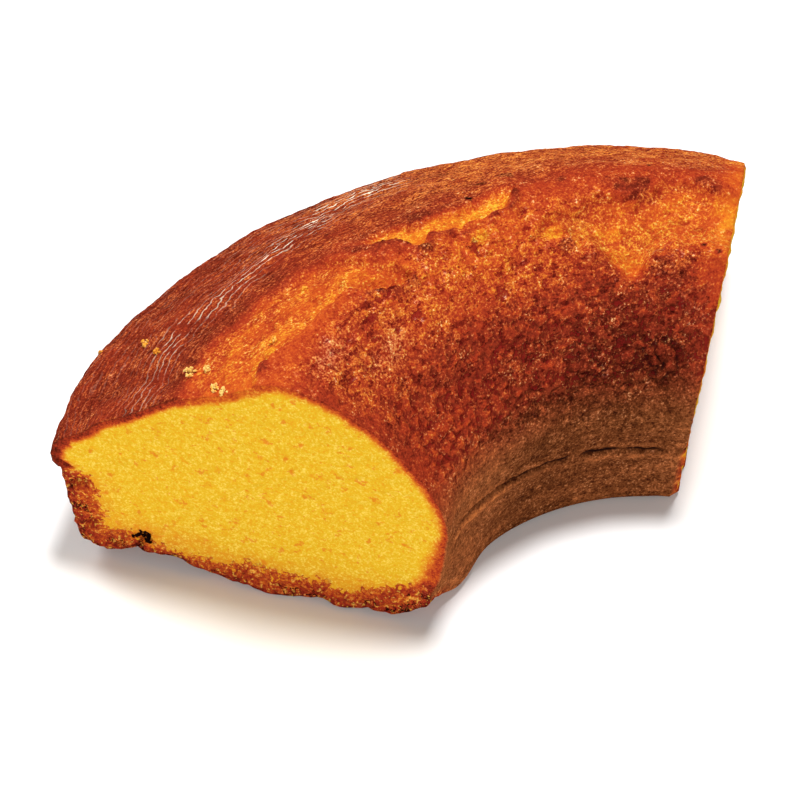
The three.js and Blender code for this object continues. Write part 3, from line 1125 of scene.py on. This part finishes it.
        toast = np.maximum(crust_toast - 0.04, 0.0) * (1 - step(ragged, hold, reach))
        golden = low * (1 - step(depth, 3.0, 13.0)) * (0.15 + 0.15 * grain.layers(points + 29, 2.0, 2))
        scorch = blend(0.69, 0.52, step(depth, 0.6, 2.4)) + 0.08 * grain.layers(points + 14, 2.0, 2)
        return np.maximum(toast, self.warmth) + np.maximum(golden, 0.0), burnt, scorch

    def _gap(self) -> Array:
        """The dark hole low in the left cut, where a flake of the base has come away, and the cracks.

        Returns:
            1 in the middle of the hole and the cracks, 0 away from them.
        """
        flat = np.hstack([self.spread, np.zeros((len(self.spread), 1))])
        moved = self.crust.grain.warped(flat, 1.6, 0.7)[:, :2]
        away = (moved - np.array(self.hole)) / np.array(self.hole_size)
        gap = 1 - step(np.linalg.norm(away, axis=1), 0.55, 1.0)
        for crack in self.cracks:
            for start, end in zip(crack[:-1], crack[1:]):
                first, run = np.array(start), np.array(end) - np.array(start)
                share = np.clip((moved - first) @ run / (run @ run), 0.0, 1.0)
                off = np.linalg.norm(moved - first - share[:, None] * run, axis=1)
                gap = np.maximum(gap, 1 - step(off, 0.4 * self.crack_width, 1.4 * self.crack_width))
        return gap


@dataclass
class CakeBody:
    """The cake: the crust and its two cut faces, joined in one closed surface."""

    section: Section = Section()
    ring: Ring = Ring()
    columns: int = 204
    left_loops: int = 40
    right_loops: int = 20
    left_tear: float = 1.0
    right_tear: float = 1.7
    left_browned: float = 1.0
    right_browned: float = 0.35
    left_middle_rough: float = 1.0
    right_middle_rough: float = 0.45
    left_warmth: float = 0.0
    right_warmth: float = 0.06
    seed: int = 11
    crust: Crust = field(init=False)

    def build(self) -> bpy.types.Object:
        """Works out the crust and the cut faces and makes them one mesh.

        Returns:
            The cake's object.
        """
        self.crust = Crust(self.section, self.ring, Grain(self.seed), self.columns)
        self.crust.shape()
        rows = len(self.crust.trace.radius)
        grid = np.arange((self.columns + 1) * rows).reshape(self.columns + 1, rows)
        onward = np.roll(grid, -1, axis=1)
        quads = [np.stack([grid[:-1], grid[1:], onward[1:], onward[:-1]], axis=-1).reshape(-1, 4)]
        vertices = [self.crust.places.reshape(-1, 3)]
        values = {key: [grown.reshape(grid.size, -1)] for key, grown in self.crust.values.items()}
        triangles = []
        right = CutFace(
            self.crust, self.ring.right, 0, self.right_loops,
            self.right_tear, self.right_browned, self.right_middle_rough, self.right_warmth,
        )
        left = CutFace(
            self.crust, self.ring.left, self.columns, self.left_loops,
            self.left_tear, self.left_browned, self.left_middle_rough, self.left_warmth,
        )
        for face in (right, left):
            points, face_values = face.shape()
            start = sum(len(block) for block in vertices)
            inner = start + np.arange((face.loops - 1) * rows).reshape(-1, rows)
            loops = np.concatenate([grid[face.column][None], inner])
            ahead = np.roll(loops, -1, axis=1)
            sheet = np.stack([loops[:-1], ahead[:-1], ahead[1:], loops[1:]], axis=-1).reshape(-1, 4)
            middle = np.full(rows, start + inner.size)
            fan = np.stack([loops[-1], ahead[-1], middle], axis=-1)
            turn = -1 if face is left else 1
            quads.append(sheet[:, ::turn])
            triangles.append(fan[:, ::turn])
            vertices.append(points)
            for key, blocks in values.items():
                blocks.append(face_values[key].reshape(len(points), -1))
        joined = {key: np.concatenate(blocks).squeeze() for key, blocks in values.items()}
        whole = [np.concatenate(blocks) for blocks in (vertices, quads, triangles)]
        return Surface(*whole, joined).to_object(Piece.BODY.value)


@dataclass
class LooseCrumbs:
    """Crumbs that the knife left on the crust, as one mesh: each is a small cluster of uneven grains."""

    crust: Crust
    seed: int = 5
    rings: int = 6
    sides: int = 9
    lift: float = 0.2
    fewest_grains: int = 5
    grains_per_mm: float = 11.0
    bump_size: float = 0.8
    bump_height: float = 0.7

    # Angle, distance past the crest, width in millimetres and browning of each crumb
    scattered: tuple[tuple[float, float, float, float], ...] = (
        (36.4, -20.4, 2.4, 0.04), (35.9, -17.2, 1.7, 0.08), (39.0, -13.6, 1.6, 0.08),
        (39.8, -11.6, 1.2, 0.04), (30.1, -39.6, 1.3, 0.2), (32.0, -33.9, 1.2, 0.24),
        (31.5, -6.3, 1.2, 0.2), (21.0, -11.0, 0.9, 0.26), (30.4, -52.2, 0.4, 0.24),
    )

    def build(self) -> bpy.types.Object:
        """Scatters the crumbs and joins them into one mesh.

        Returns:
            The crumbs' object.
        """
        rng = np.random.default_rng(self.seed)
        shape, quads, triangles = self._ball()
        vertices, all_quads, all_triangles, browning = [], [], [], []
        for angle, past, width, toast in self.scattered:
            place, normal = self.crust.at(angle, past)
            for grain_points in self._cluster(shape, width, rng):
                start = sum(len(block) for block in vertices)
                vertices.append(grain_points + place + normal * width * self.lift)
                all_quads.append(quads + start)
                all_triangles.append(triangles + start)
                browning.append(np.full(len(shape), toast + rng.uniform(-0.05, 0.1)))
        whole = [np.concatenate(blocks) for blocks in (vertices, all_quads, all_triangles)]
        return Surface(*whole, {Look.TOAST: np.concatenate(browning)}).to_object(Piece.CRUMBS.value)

    def _cluster(self, shape: Array, width: float, rng: np.random.Generator) -> list[Array]:
        """The grains of one crumb: bumpy balls of uneven size, close together round its middle.

        Args:
            shape: Vertices of a unit ball.
            width: Width of the crumb in millimetres.
            rng: Source of the draws.

        Returns:
            Vertices of each grain.
        """
        count = max(self.fewest_grains, round(width * self.grains_per_mm))
        grains = []
        for _ in range(count):
            moved = shape + rng.uniform(0, 50, 3)
            bumps = 1.0 + self.bump_height * self.crust.grain.lumps(moved, self.bump_size)
            stretch = rng.uniform(0.5, 1.4, size=3) * rng.uniform(0.16, 0.36)
            away = rng.uniform(-1.0, 1.0, size=3) * np.array([0.45, 0.45, 0.18]) * width
            grains.append(shape * bumps[:, None] * stretch + away)
        return grains

    def _ball(self) -> tuple[Array, Array, Array]:
        """A unit ball on a grid of rings and sides, closed by two poles.

        Returns:
            Vertices, quads and triangles.
        """
        up = np.linspace(0, math.pi, self.rings + 2)[1:-1, None]
        turn = np.linspace(0, math.tau, self.sides, endpoint=False)[None]
        ball = np.broadcast_arrays(np.sin(up) * np.cos(turn), np.sin(up) * np.sin(turn), np.cos(up))
        vertices = np.concatenate([np.stack(ball, axis=-1).reshape(-1, 3), [[0, 0, 1.0], [0, 0, -1.0]]])
        grid = np.arange(self.rings * self.sides).reshape(self.rings, self.sides)
        ahead = np.roll(grid, -1, axis=1)
        quads = np.stack([grid[:-1], grid[1:], ahead[1:], ahead[:-1]], axis=-1).reshape(-1, 4)
        top = np.full(self.sides, grid.size)
        cap = np.stack([top, grid[0], ahead[0]], axis=-1)
        foot = np.stack([ahead[-1], grid[-1], top + 1], axis=-1)
        return vertices, quads, np.concatenate([cap, foot])


# Materials

Value = Union[float, "Shade"]


class Shade:
    """A shader value. Arithmetic on it adds Math nodes to its tree."""

    def __init__(self, bench: "Bench", socket: bpy.types.NodeSocket) -> None:
        """Wraps an output socket of a node on the bench."""
        self.bench = bench
        self.socket = socket

    def _maths(self, operation: str, first: Value, second: Value) -> "Shade":
        """One Math node on two values."""
        return self.bench.node("ShaderNodeMath", {"operation": operation}, {0: first, 1: second})

    def __add__(self, other: Value) -> "Shade":
        """Sum."""
        return self._maths("ADD", self, other)

    __radd__ = __add__

    def __sub__(self, other: Value) -> "Shade":
        """Difference."""
        return self._maths("SUBTRACT", self, other)

    def __rsub__(self, other: Value) -> "Shade":
        """Difference, from a number."""
        return self._maths("SUBTRACT", other, self)

    def __mul__(self, other: Value) -> "Shade":
        """Product."""
        return self._maths("MULTIPLY", self, other)

    __rmul__ = __mul__

    def between(self, low: float, high: float) -> "Shade":
        """Rises smoothly from 0 at low to 1 at high."""
        settings = {"interpolation_type": "SMOOTHSTEP"}
        return self.bench.node("ShaderNodeMapRange", settings, {0: self, 1: low, 2: high})


class Bench:
    """Builds the node tree of one material."""

    def __init__(self, name: str) -> None:
        """Makes the material with its shader and output.

        Args:
            name: Name of the material.
        """
        self.material = bpy.data.materials.new(name)
        self.material.use_nodes = True
        self.tree = self.material.node_tree
        self.shader = self.tree.nodes["Principled BSDF"]
        self.coords = self.node("ShaderNodeTexCoord", {}, {}, "Object")

    def node(self, kind: str, settings: dict[str, Any], sockets: dict[Any, Any], output: Any = 0) -> Shade:
        """Adds any node.

        Args:
            kind: The node's type.
            settings: Its properties. The stops of a ramp are pairs of place and colour.
            sockets: Values or links of its inputs, by name or number.
            output: Name or number of the output that is wanted.

        Returns:
            That output.
        """
        node = self.tree.nodes.new(kind)
        for key, value in settings.items():
            if key == "stops":
                self._stops(node.color_ramp, value)
            else:
                setattr(node, key, value)
        for key, value in sockets.items():
            self.link(value, node.inputs[key])
        return Shade(self, node.outputs[output])

    def _stops(self, ramp: bpy.types.ColorRamp, stops: Sequence[tuple[float, Colour]]) -> None:
        """Sets a ramp's stops.

        Args:
            ramp: The ramp.
            stops: Pairs of place and colour, in rising order of place.
        """
        while len(ramp.elements) < len(stops):
            ramp.elements.new(1.0)
        for element, (place, colour) in zip(ramp.elements, stops):
            element.position = place
            element.color = (*colour, 1.0)

    def link(self, value: Any, socket: bpy.types.NodeSocket) -> None:
        """Links a shade to an input, or sets the input's own value.

        Args:
            value: A shade, a number, a vector or a colour.
            socket: The input.
        """
        if isinstance(value, Shade):
            self.tree.links.new(value.socket, socket)
        elif isinstance(value, tuple) and socket.type == "RGBA":
            socket.default_value = (*value, 1.0)
        else:
            socket.default_value = value

    def attribute(self, look: Look, output: str = "Fac") -> Shade:
        """A value that the mesh holds at its vertices."""
        return self.node("ShaderNodeAttribute", {"attribute_name": look.value}, {}, output)

    def noise(self, size: float, detail: float, rough: float = 0.6, over: Optional[Shade] = None) -> Shade:
        """Noise in space, or over a vector that follows the surface.

        Args:
            size: Width of the largest lumps, in millimetres.
            detail: Number of finer layers.
            rough: Height of a layer as a share of the last one's.
            over: The vector to read it over, in metres, where it isn't the object's own space.

        Returns:
            Values from about 0 to 1.
        """
        sockets = {"Vector": over or self.coords, "Scale": 1.0 / (size * MM)}
        sockets |= {"Detail": detail, "Roughness": rough}
        return self.node("ShaderNodeTexNoise", {}, sockets, "Fac")

    def speckle(
        self, size: float, detail: float, rough: float, gain: float, over: Optional[Shade] = None
    ) -> Shade:
        """Noise round zero, with a gain."""
        return (self.noise(size, detail, rough, over) - 0.5) * gain

    def mix(self, share: Value, first: Any, second: Any) -> Shade:
        """Two colours mixed by a share."""
        return self.node("ShaderNodeMix", {"data_type": "RGBA"}, {0: share, 6: first, 7: second}, 2)

    def multiplied(self, share: Value, colour: Shade, tint: Colour) -> Shade:
        """A colour multiplied by a tint, by a share."""
        settings = {"data_type": "RGBA", "blend_type": "MULTIPLY"}
        return self.node("ShaderNodeMix", settings, {0: share, 6: colour, 7: tint}, 2)


@dataclass
class CakeShades:
    """What the cake's finish is mixed from: values of the vertices, and noises of several sizes."""

    bench: Bench
    coarse_size: float = 2.6
    lump_size: float = 1.1
    streak_size: float = 0.7
    grit_size: float = 0.45
    patch_size: float = 4.6
    cavity_size: float = 1.5
    flake_size: float = 1.3

    def __post_init__(self) -> None:
        """Adds the attributes, the noises and the masks that more than one part of the finish reads."""
        bench = self.bench
        self.toast, self.crumb, self.torn = self._read(Look.TOAST, Look.CRUMB, Look.TORN)
        self.tin, self.gloss, self.bloom = self._read(Look.TIN, Look.GLOSS, Look.BLOOM)
        self.flecks, self.grainy, self.pit = self._read(Look.FLECKS, Look.GRAINY, Look.PIT)
        self.slope, self.burnt, self.flaky = self._read(Look.SLOPE, Look.BURNT, Look.FLAKY)
        self.phase, self.scorch = self._read(Look.PHASE, Look.SCORCH)
        self.skin = bench.attribute(Look.SKIN, "Vector")

        self.coarse = bench.speckle(self.coarse_size, 2.0, 0.6, 6.0)
        self.grit = bench.speckle(self.grit_size, 2.0, 0.7, 8.0)
        lumps = bench.speckle(self.lump_size, 3.0, 0.65, 8.0)
        streaks = bench.speckle(self.streak_size, 3.0, 0.65, 8.0, self.skin)
        self.lumps = lumps + (streaks - lumps) * self.slope
        self.patches = bench.noise(self.patch_size, 3.0)
        self.grain = self.grit * 0.5 + self.lumps * 0.35 + self.coarse * 0.1

        uneven = (self.lumps * 0.28 + self.coarse * 0.12) * self.burnt.between(0.0, 0.3)
        self.scorched = (self.burnt + uneven).between(0.4, 0.58)
        self.soft = self.crumb * (1.0 - self.scorched)
        self.skinned = (1.0 - self.crumb) * (1.0 - self.torn * 0.6)
        self.speck = (self.grain + (self.patches - 0.5) * 2.0 + self.flecks).between(0.3, 1.9)
        # Cavities, recessed by the bump and darkened in the colour as painted shade
        self.cavity = bench.noise(self.cavity_size, 2.0, 0.5, self.skin).between(0.42, 0.385) * self.flaky
        self.flake = bench.noise(self.flake_size, 1.5, 0.5, self.skin).between(0.58, 0.62) * self.flaky
        # Hollows of the pits and crevices, which the colour darkens as painted shade
        self.hollow = (self.pit - self.grain * 0.2).between(0.4, 0.6)

    def _read(self, *looks: Look) -> list[Shade]:
        """Values that the mesh holds at its vertices."""
        return [self.bench.attribute(look) for look in looks]


@dataclass(frozen=True)
class CakeFinish:
    """Colours and shine of the cake, from raw crumb to dark crust."""

    browning: tuple[tuple[float, Colour], ...] = (
        (0.0, linear(212, 170, 36)),
        (0.18, linear(208, 140, 34)),
        (0.34, linear(199, 103, 30)),
        (0.48, linear(183, 76, 30)),
        (0.62, linear(156, 52, 28)),
        (0.75, linear(120, 40, 24)),
        (0.87, linear(83, 28, 15)),
        (1.0, linear(46, 15, 8)),
    )
    tin_browning: tuple[tuple[float, Colour], ...] = (
        (0.4, linear(190, 112, 60)),
        (0.7, linear(124, 74, 40)),
        (0.85, linear(95, 52, 24)),
        (1.0, linear(60, 28, 12)),
    )
    pale_crumb: Colour = linear(234, 204, 92)
    crumb_pore: Colour = linear(214, 140, 28)
    crumb_tear: Colour = linear(206, 104, 26)
    skin_fleck: Colour = linear(226, 160, 66)
    dry_fleck: Colour = linear(204, 158, 124)
    # Colour of the painted glints
    painted_glint: Colour = linear(255, 222, 160)
    torn_fleck: Colour = linear(240, 192, 80)
    granule: Colour = linear(228, 132, 66)
    dark_dot: Colour = linear(138, 34, 27)
    # Deep red painted shade for pits, crevices and the lines beside the crests
    painted_shade: Colour = linear(122, 26, 22)
    # Darker tint for the dots and for painted shade in the cavities
    dot_and_shade_tint: Colour = linear(208, 164, 190)
    # Black of burnt crust, and of the painted shade in the cracks and the hole
    burnt_and_shade_black: Colour = linear(26, 10, 8)
    painted_crest_glint: Colour = linear(255, 236, 200)
    hole_arms: float = 3.0
    hole_turn: float = 0.6
    hole_arm: float = 0.9
    hole_core: float = 0.5
    crumbly_size: float = 0.85
    tear_size: float = 2.4
    crack_size: float = 3.6
    ripple_size: float = 3.0
    rough: float = 0.68
    coat_rough: float = 0.25
    coat_bend: float = 2.0

    def material(self) -> bpy.types.Material:
        """One material for crust and crumb, led by the values on the vertices.

        Returns:
            The material.
        """
        bench = Bench("baked_cake")
        shades = CakeShades(bench)
        hole = self._hole(shades)
        cracks = self._cracks(shades) + hole.between(0.9, 0.6)
        ridge, beside = self._wrinkles(shades)
        colour = self._browned(shades)
        colour = self._flecked(shades, colour)
        colour = self._scorched(shades, colour)
        colour = self._pitted(shades, colour)
        colour = self._crumbed(shades, colour)
        colour = bench.mix(hole.between(2.4, 0.9) * 0.6, colour, self.crumb_tear)
        # Painted shade: the cracks and the hole's middle black
        colour = bench.mix(cracks, colour, self.burnt_and_shade_black)
        # Painted shade: dark lines beside the wrinkle crests
        colour = bench.mix(beside * 0.4, colour, self.painted_shade)
        # Painted highlight: pale crests of the wrinkles, golden in the openings
        crest = bench.mix(shades.torn, self.painted_crest_glint, self.torn_fleck)
        colour = bench.mix(ridge * 0.8, colour, crest)
        coat = ridge * (1.0 - shades.torn) * 0.7 + shades.speck * shades.skinned * 0.06

        inputs = bench.shader.inputs
        bench.link(colour, inputs["Base Color"])
        bench.link(self.rough + shades.coarse * 0.05, inputs["Roughness"])
        bench.link(coat, inputs["Coat Weight"])
        bench.link(self.coat_rough, inputs["Coat Roughness"])
        bench.link(self.coat_bend, inputs["Coat IOR"])
        bench.link(0.0, inputs["Specular IOR Level"])
        sockets = {"Strength": 1.0, "Distance": MM, "Height": self._height(shades, ridge, cracks)}
        bench.link(bench.node("ShaderNodeBump", {}, sockets, "Normal"), inputs["Normal"])
        return bench.material

    def _hole(self, shades: CakeShades) -> Shade:
        """The star-shaped hole low in the left cut: the way from its middle, less in the star's arms.

        Args:
            shades: The shades, with distance along the cut and height, in metres, as the skin.

        Returns:
            Millimetres from the hole's middle, shortened along its uneven arms.
        """
        bench = shades.bench
        middle = tuple(size * MM for size in (*CutFace.hole, 0.0))
        away = bench.node("ShaderNodeVectorMath", {"operation": "SUBTRACT"}, {0: shades.skin, 1: middle})
        length = bench.node("ShaderNodeVectorMath", {"operation": "LENGTH"}, {0: away}, "Value")
        across = bench.node("ShaderNodeSeparateXYZ", {}, {0: away}, "X")
        upward = bench.node("ShaderNodeSeparateXYZ", {}, {0: away}, "Y")
        turn = bench.node("ShaderNodeMath", {"operation": "ARCTAN2"}, {0: upward, 1: across})
        turn = turn * self.hole_arms + self.hole_turn
        arms = bench.node("ShaderNodeMath", {"operation": "COSINE"}, {0: turn})
        uneven = bench.speckle(1.0, 2.0, 0.6, 4.5)
        return length * (1.0 / MM) - arms.between(0.2, 1.0) * self.hole_arm + uneven - self.hole_core

    def _cracks(self, shades: CakeShades) -> Shade:
        """Thin cracks of the broken base, painted black as shade: where a noise is near its middle value,
        in some patches.

        Args:
            shades: What the finish is mixed from.

        Returns:
            1 in the cracks, 0 beside them.
        """
        middle = shades.bench.noise(self.crack_size, 3.0, 0.65) - 0.5
        split = shades.bench.node("ShaderNodeMath", {"operation": "ABSOLUTE"}, {0: middle})
        lines = 1.0 - split.between(0.006, 0.016)
        return lines * shades.patches.between(0.5, 0.56) * shades.burnt.between(0.8, 1.0)

    def _wrinkles(self, shades: CakeShades) -> tuple[Shade, Shade]:
        """Crests of the wrinkles, a sine of their phase, which shine with the coat and get a painted
        highlight, and painted shade lines beside them.

        Args:
            shades: What the finish is mixed from.

        Returns:
            Shares of crest and of painted shade line.
        """
        bench = shades.bench
        phase = shades.phase + bench.speckle(self.ripple_size, 2.0, 0.6, 1.3)
        wave = bench.node("ShaderNodeMath", {"operation": "SINE"}, {0: phase * math.tau})
        lines = shades.patches.between(0.33, 0.48) * shades.gloss
        beside = wave.between(0.0, 0.6) * (1.0 - wave.between(0.6, 0.8)) * lines
        return wave.between(0.8, 1.0) * lines, beside

    def _browned(self, shades: CakeShades) -> Shade:
        """The colour of the browning: its level in the ramps of open and of tin-baked crust.

        Args:
            shades: What the finish is mixed from.

        Returns:
            The colour.
        """
        bench, lumps, coarse, grit = shades.bench, shades.lumps, shades.coarse, shades.grit
        scorch = shades.scorch - lumps * 0.14 - coarse * 0.1 - grit * 0.05
        level = shades.toast - (grit * 0.7 + lumps * 0.5 + coarse * 0.3) * shades.grainy
        level = level - shades.speck * shades.flecks * (1.0 - shades.crumb) * 0.5
        level = level + (scorch - level) * shades.scorched
        # Cavities a little browner as painted shade, flakes a little paler
        level = level + shades.cavity * 0.05 - shades.flake * 0.08
        colour = bench.node("ShaderNodeValToRGB", {"stops": self.browning}, {0: level}, "Color")
        tinned = bench.node("ShaderNodeValToRGB", {"stops": self.tin_browning}, {0: level}, "Color")
        return bench.mix(shades.tin * 0.85, colour, tinned)

    def _flecked(self, shades: CakeShades, colour: Shade) -> Shade:
        """Pale flecks of dry skin, darker dots between them and small painted glints.

        Args:
            shades: What the finish is mixed from.
            colour: The colour so far.

        Returns:
            The new colour.
        """
        bench, crumb, tin = shades.bench, shades.crumb, shades.tin
        dry = bench.mix(shades.bloom, self.skin_fleck, self.dry_fleck)
        fleck = bench.mix(shades.torn, dry, self.torn_fleck)
        share = shades.speck * (shades.flecks - tin * 0.3 + shades.bloom * 0.4) * 0.43
        colour = bench.mix(share, colour, fleck)
        dots = (0.3 - shades.grain).between(0.5, 1.8) * shades.skinned
        colour = bench.multiplied(dots, colour, self.dot_and_shade_tint)
        # Painted glints: small pale spots, thickest in clusters
        painted_sparks = (shades.grit + shades.lumps * 0.5).between(1.1, 1.9)
        painted_sparks = painted_sparks * (shades.patches.between(0.48, 0.62) * 0.95 + 0.2) * (1.0 - shades.slope * 0.6)
        return bench.mix(painted_sparks * shades.flecks * (1.0 - crumb) * (1.0 - tin * 0.5), colour, self.painted_glint)

    def _scorched(self, shades: CakeShades, colour: Shade) -> Shade:
        """Granules, golden crumbs and dark dots of the broken crust.

        Args:
            shades: What the finish is mixed from.
            colour: The colour so far.

        Returns:
            The new colour.
        """
        bench, scorched = shades.bench, shades.scorched
        granules = shades.lumps * 0.5 + shades.coarse * 0.4
        crumbly = bench.noise(self.crumbly_size, 2.0, 0.55)
        colour = bench.mix(granules.between(0.45, 0.8) * scorched * 0.4, colour, self.granule)
        colour = bench.mix(granules.between(0.85, 1.1) * scorched * 0.6, colour, self.torn_fleck)
        colour = bench.mix(crumbly.between(0.46, 0.4) * scorched * 0.65, colour, self.dark_dot)
        return bench.mix(crumbly.between(0.6, 0.65) * scorched * 0.55, colour, self.torn_fleck)

    def _pitted(self, shades: CakeShades, colour: Shade) -> Shade:
        """Painted shade in the hollows between the flakes and in the open pores, and burnt spots.

        Args:
            shades: What the finish is mixed from.
            colour: The colour so far.

        Returns:
            The new colour.
        """
        bench = shades.bench
        # Painted shade: cavities tinted darker, pits and crevices darker red
        colour = bench.multiplied(shades.cavity * (0.75 - shades.tin * 0.45), colour, self.dot_and_shade_tint)
        colour = bench.mix(shades.hollow * 0.7, colour, self.painted_shade)
        return bench.mix(shades.toast.between(0.9, 1.0), colour, self.burnt_and_shade_black)

    def _crumbed(self, shades: CakeShades, colour: Shade) -> Shade:
        """Pale grains, pores and small tears of the crumb.

        Args:
            shades: What the finish is mixed from.
            colour: The colour so far.

        Returns:
            The new colour.
        """
        bench, grain, soft = shades.bench, shades.grain, shades.soft
        tears = bench.noise(self.tear_size, 3.0, 0.7) + shades.grit * 0.02
        colour = bench.mix(grain.between(-0.1, 1.3) * soft * 0.95, colour, self.pale_crumb)
        colour = bench.mix(grain.between(0.1, -1.3) * soft * 0.85, colour, self.crumb_pore)
        return bench.mix(tears.between(0.59, 0.67) * soft * 0.7, colour, self.crumb_tear)

    def _height(self, shades: CakeShades, ridge: Shade, cracks: Shade) -> Shade:
        """The finest relief in millimetres: grit, lumps, flakes, wrinkles, hollows and cracks.

        Args:
            shades: What the finish is mixed from.
            ridge: Crests of the wrinkles.
            cracks: Cracks and the dark hole.

        Returns:
            The height.
        """
        lumps, coarse, flaky = shades.lumps, shades.coarse, shades.flaky
        height = shades.grit * 0.014 + lumps * (flaky * 0.01 + 0.026) + coarse * (flaky * 0.02 + 0.03)
        height = height * (1.0 - shades.soft * 0.5) + ridge * 0.12 + shades.flake * 0.07
        height = height - shades.cavity * 0.1 - shades.hollow * 0.1 - cracks * 0.3
        return height + (lumps + coarse) * shades.scorched * 0.08


@dataclass(frozen=True)
class DryCrumbFinish:
    """Loose crumbs: paler and drier than the crumb of the cut."""

    pale: Colour = linear(232, 196, 112)
    golden: Colour = linear(226, 150, 48)
    spot_size: float = 0.6
    rough: float = 0.8

    def material(self) -> bpy.types.Material:
        """Pale crumb with golden spots.

        Returns:
            The material.
        """
        bench = Bench("dry_crumb")
        toast = bench.attribute(Look.TOAST)
        spots = bench.speckle(self.spot_size, 2.0, 0.6, 1.6) + toast * 2.0
        colour = bench.mix(spots.between(0.0, 0.6), self.pale, self.golden)
        bench.link(colour, bench.shader.inputs["Base Color"])
        bench.link(self.rough, bench.shader.inputs["Roughness"])
        bench.link(0.0, bench.shader.inputs["Specular IOR Level"])
        return bench.material


# The studio


def direction(azimuth: float, elevation: float) -> Vector:
    """Unit vector from the object towards a viewer at an azimuth and elevation in degrees."""
    a, e = math.radians(azimuth), math.radians(elevation)
    return Vector((math.sin(a) * math.cos(e), -math.cos(a) * math.cos(e), math.sin(e)))


@dataclass(frozen=True)
class Lamp:
    """A soft area lamp: the direction it stands in, its distance and width in metres, and its power."""

    name: str
    azimuth: float
    elevation: float
    distance: float
    width: float
    power: float

    def build(self, target: Vector) -> None:
        """Puts the lamp round the target, turned to it.

        Args:
            target: The place that it lights.
        """
        light = bpy.data.lights.new(self.name, "AREA")
        light.shape = "DISK"
        light.size = self.width
        light.energy = self.power
        lamp = bpy.data.objects.new(self.name, light)
        away = direction(self.azimuth, self.elevation)
        lamp.location = target + away * self.distance
        lamp.rotation_euler = away.to_track_quat("Z", "Y").to_euler()
        bpy.context.scene.collection.objects.link(lamp)


@dataclass
class Studio:
    """White floor, even white surroundings, soft lamps and the photograph's camera."""

    azimuth: float = -35.615
    elevation: float = 50.04
    roll: float = 4.4
    distance: float = 0.47225
    target: tuple[float, float, float] = (-0.01309, -0.0032, 0.01724)
    focal_pixels: float = 2417.75
    frame_pixels: float = 800.0
    sensor: float = 36.0
    floor_half: float = 4.0
    floor_drop: float = 0.0001
    floor_white: Colour = (0.9, 0.9, 0.9)
    near_clip: float = 0.01
    world_power: float = 0.22
    world_tint: Colour = (1.0, 0.93, 0.84)
    lamps: tuple[Lamp, ...] = (
        Lamp("key", 128.0, 81.3, 1.5, 0.34, 23.0),
        Lamp("rim", -172.0, 32.0, 1.2, 0.6, 6.5),
        Lamp("fill", -34.0, 18.0, 1.8, 1.1, 19.5),
    )

    def build(self) -> None:
        """Makes the floor, the light and the camera, and sets plain screen colours."""
        self._floor()
        self._light()
        self._camera()
        bpy.context.scene.view_settings.view_transform = "Standard"

    def _floor(self) -> None:
        """A wide white floor just under the cake."""
        half = self.floor_half
        corners = [(-half, -half), (half, -half), (half, half), (-half, half)]
        mesh = bpy.data.meshes.new(Piece.FLOOR.value)
        mesh.from_pydata([(x, y, -self.floor_drop) for x, y in corners], [], [(0, 1, 2, 3)])
        floor = bpy.data.objects.new(Piece.FLOOR.value, mesh)
        bpy.context.scene.collection.objects.link(floor)
        bench = Bench("white_floor")
        bench.link(self.floor_white, bench.shader.inputs["Base Color"])
        bench.link(1.0, bench.shader.inputs["Roughness"])
        bench.link(0.0, bench.shader.inputs["Specular IOR Level"])
        mesh.materials.append(bench.material)

    def _light(self) -> None:
        """Even white surroundings and the lamps."""
        world = bpy.data.worlds.new("white_surroundings")
        world.use_nodes = True
        background = world.node_tree.nodes["Background"]
        background.inputs["Color"].default_value = (*self.world_tint, 1.0)
        background.inputs["Strength"].default_value = self.world_power
        bpy.context.scene.world = world
        for lamp in self.lamps:
            lamp.build(Vector(self.target))

    def _camera(self) -> None:
        """The photograph's camera: its direction, roll, distance and focal length in pixels."""
        a, roll = math.radians(self.azimuth), math.radians(self.roll)
        back = direction(self.azimuth, self.elevation)
        level = Vector((math.cos(a), math.sin(a), 0.0))
        upright = back.cross(level)
        right = math.cos(roll) * level + math.sin(roll) * upright
        up = math.cos(roll) * upright - math.sin(roll) * level
        data = bpy.data.cameras.new("camera")
        data.sensor_width = self.sensor
        data.lens = self.focal_pixels * self.sensor / self.frame_pixels
        data.clip_start = self.near_clip
        camera = bpy.data.objects.new("camera", data)
        turn = Matrix((right, up, back)).transposed().to_4x4()
        camera.matrix_world = Matrix.Translation(Vector(self.target) + back * self.distance) @ turn
        bpy.context.scene.collection.objects.link(camera)
        bpy.context.scene.camera = camera


def main() -> None:
    """Builds the cake, its loose crumbs and the studio, and notes the size."""
    logging.basicConfig(level=logging.INFO, format="%(name)s: %(message)s")
    cake = CakeBody()
    body = cake.build()
    crumbs = LooseCrumbs(cake.crust).build()
    for piece, finish in ((body, CakeFinish()), (crumbs, DryCrumbFinish())):
        piece.data.materials.append(finish.material())
        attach(piece, Frame.CARRIER.value)
        triangles = sum(len(face.vertices) - 2 for face in piece.data.polygons)
        LOG.info("%s: %d triangles", piece.name, triangles)
    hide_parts(Frame.NODE.value)
    Studio().build()


if __name__ == "__main__":
    main()
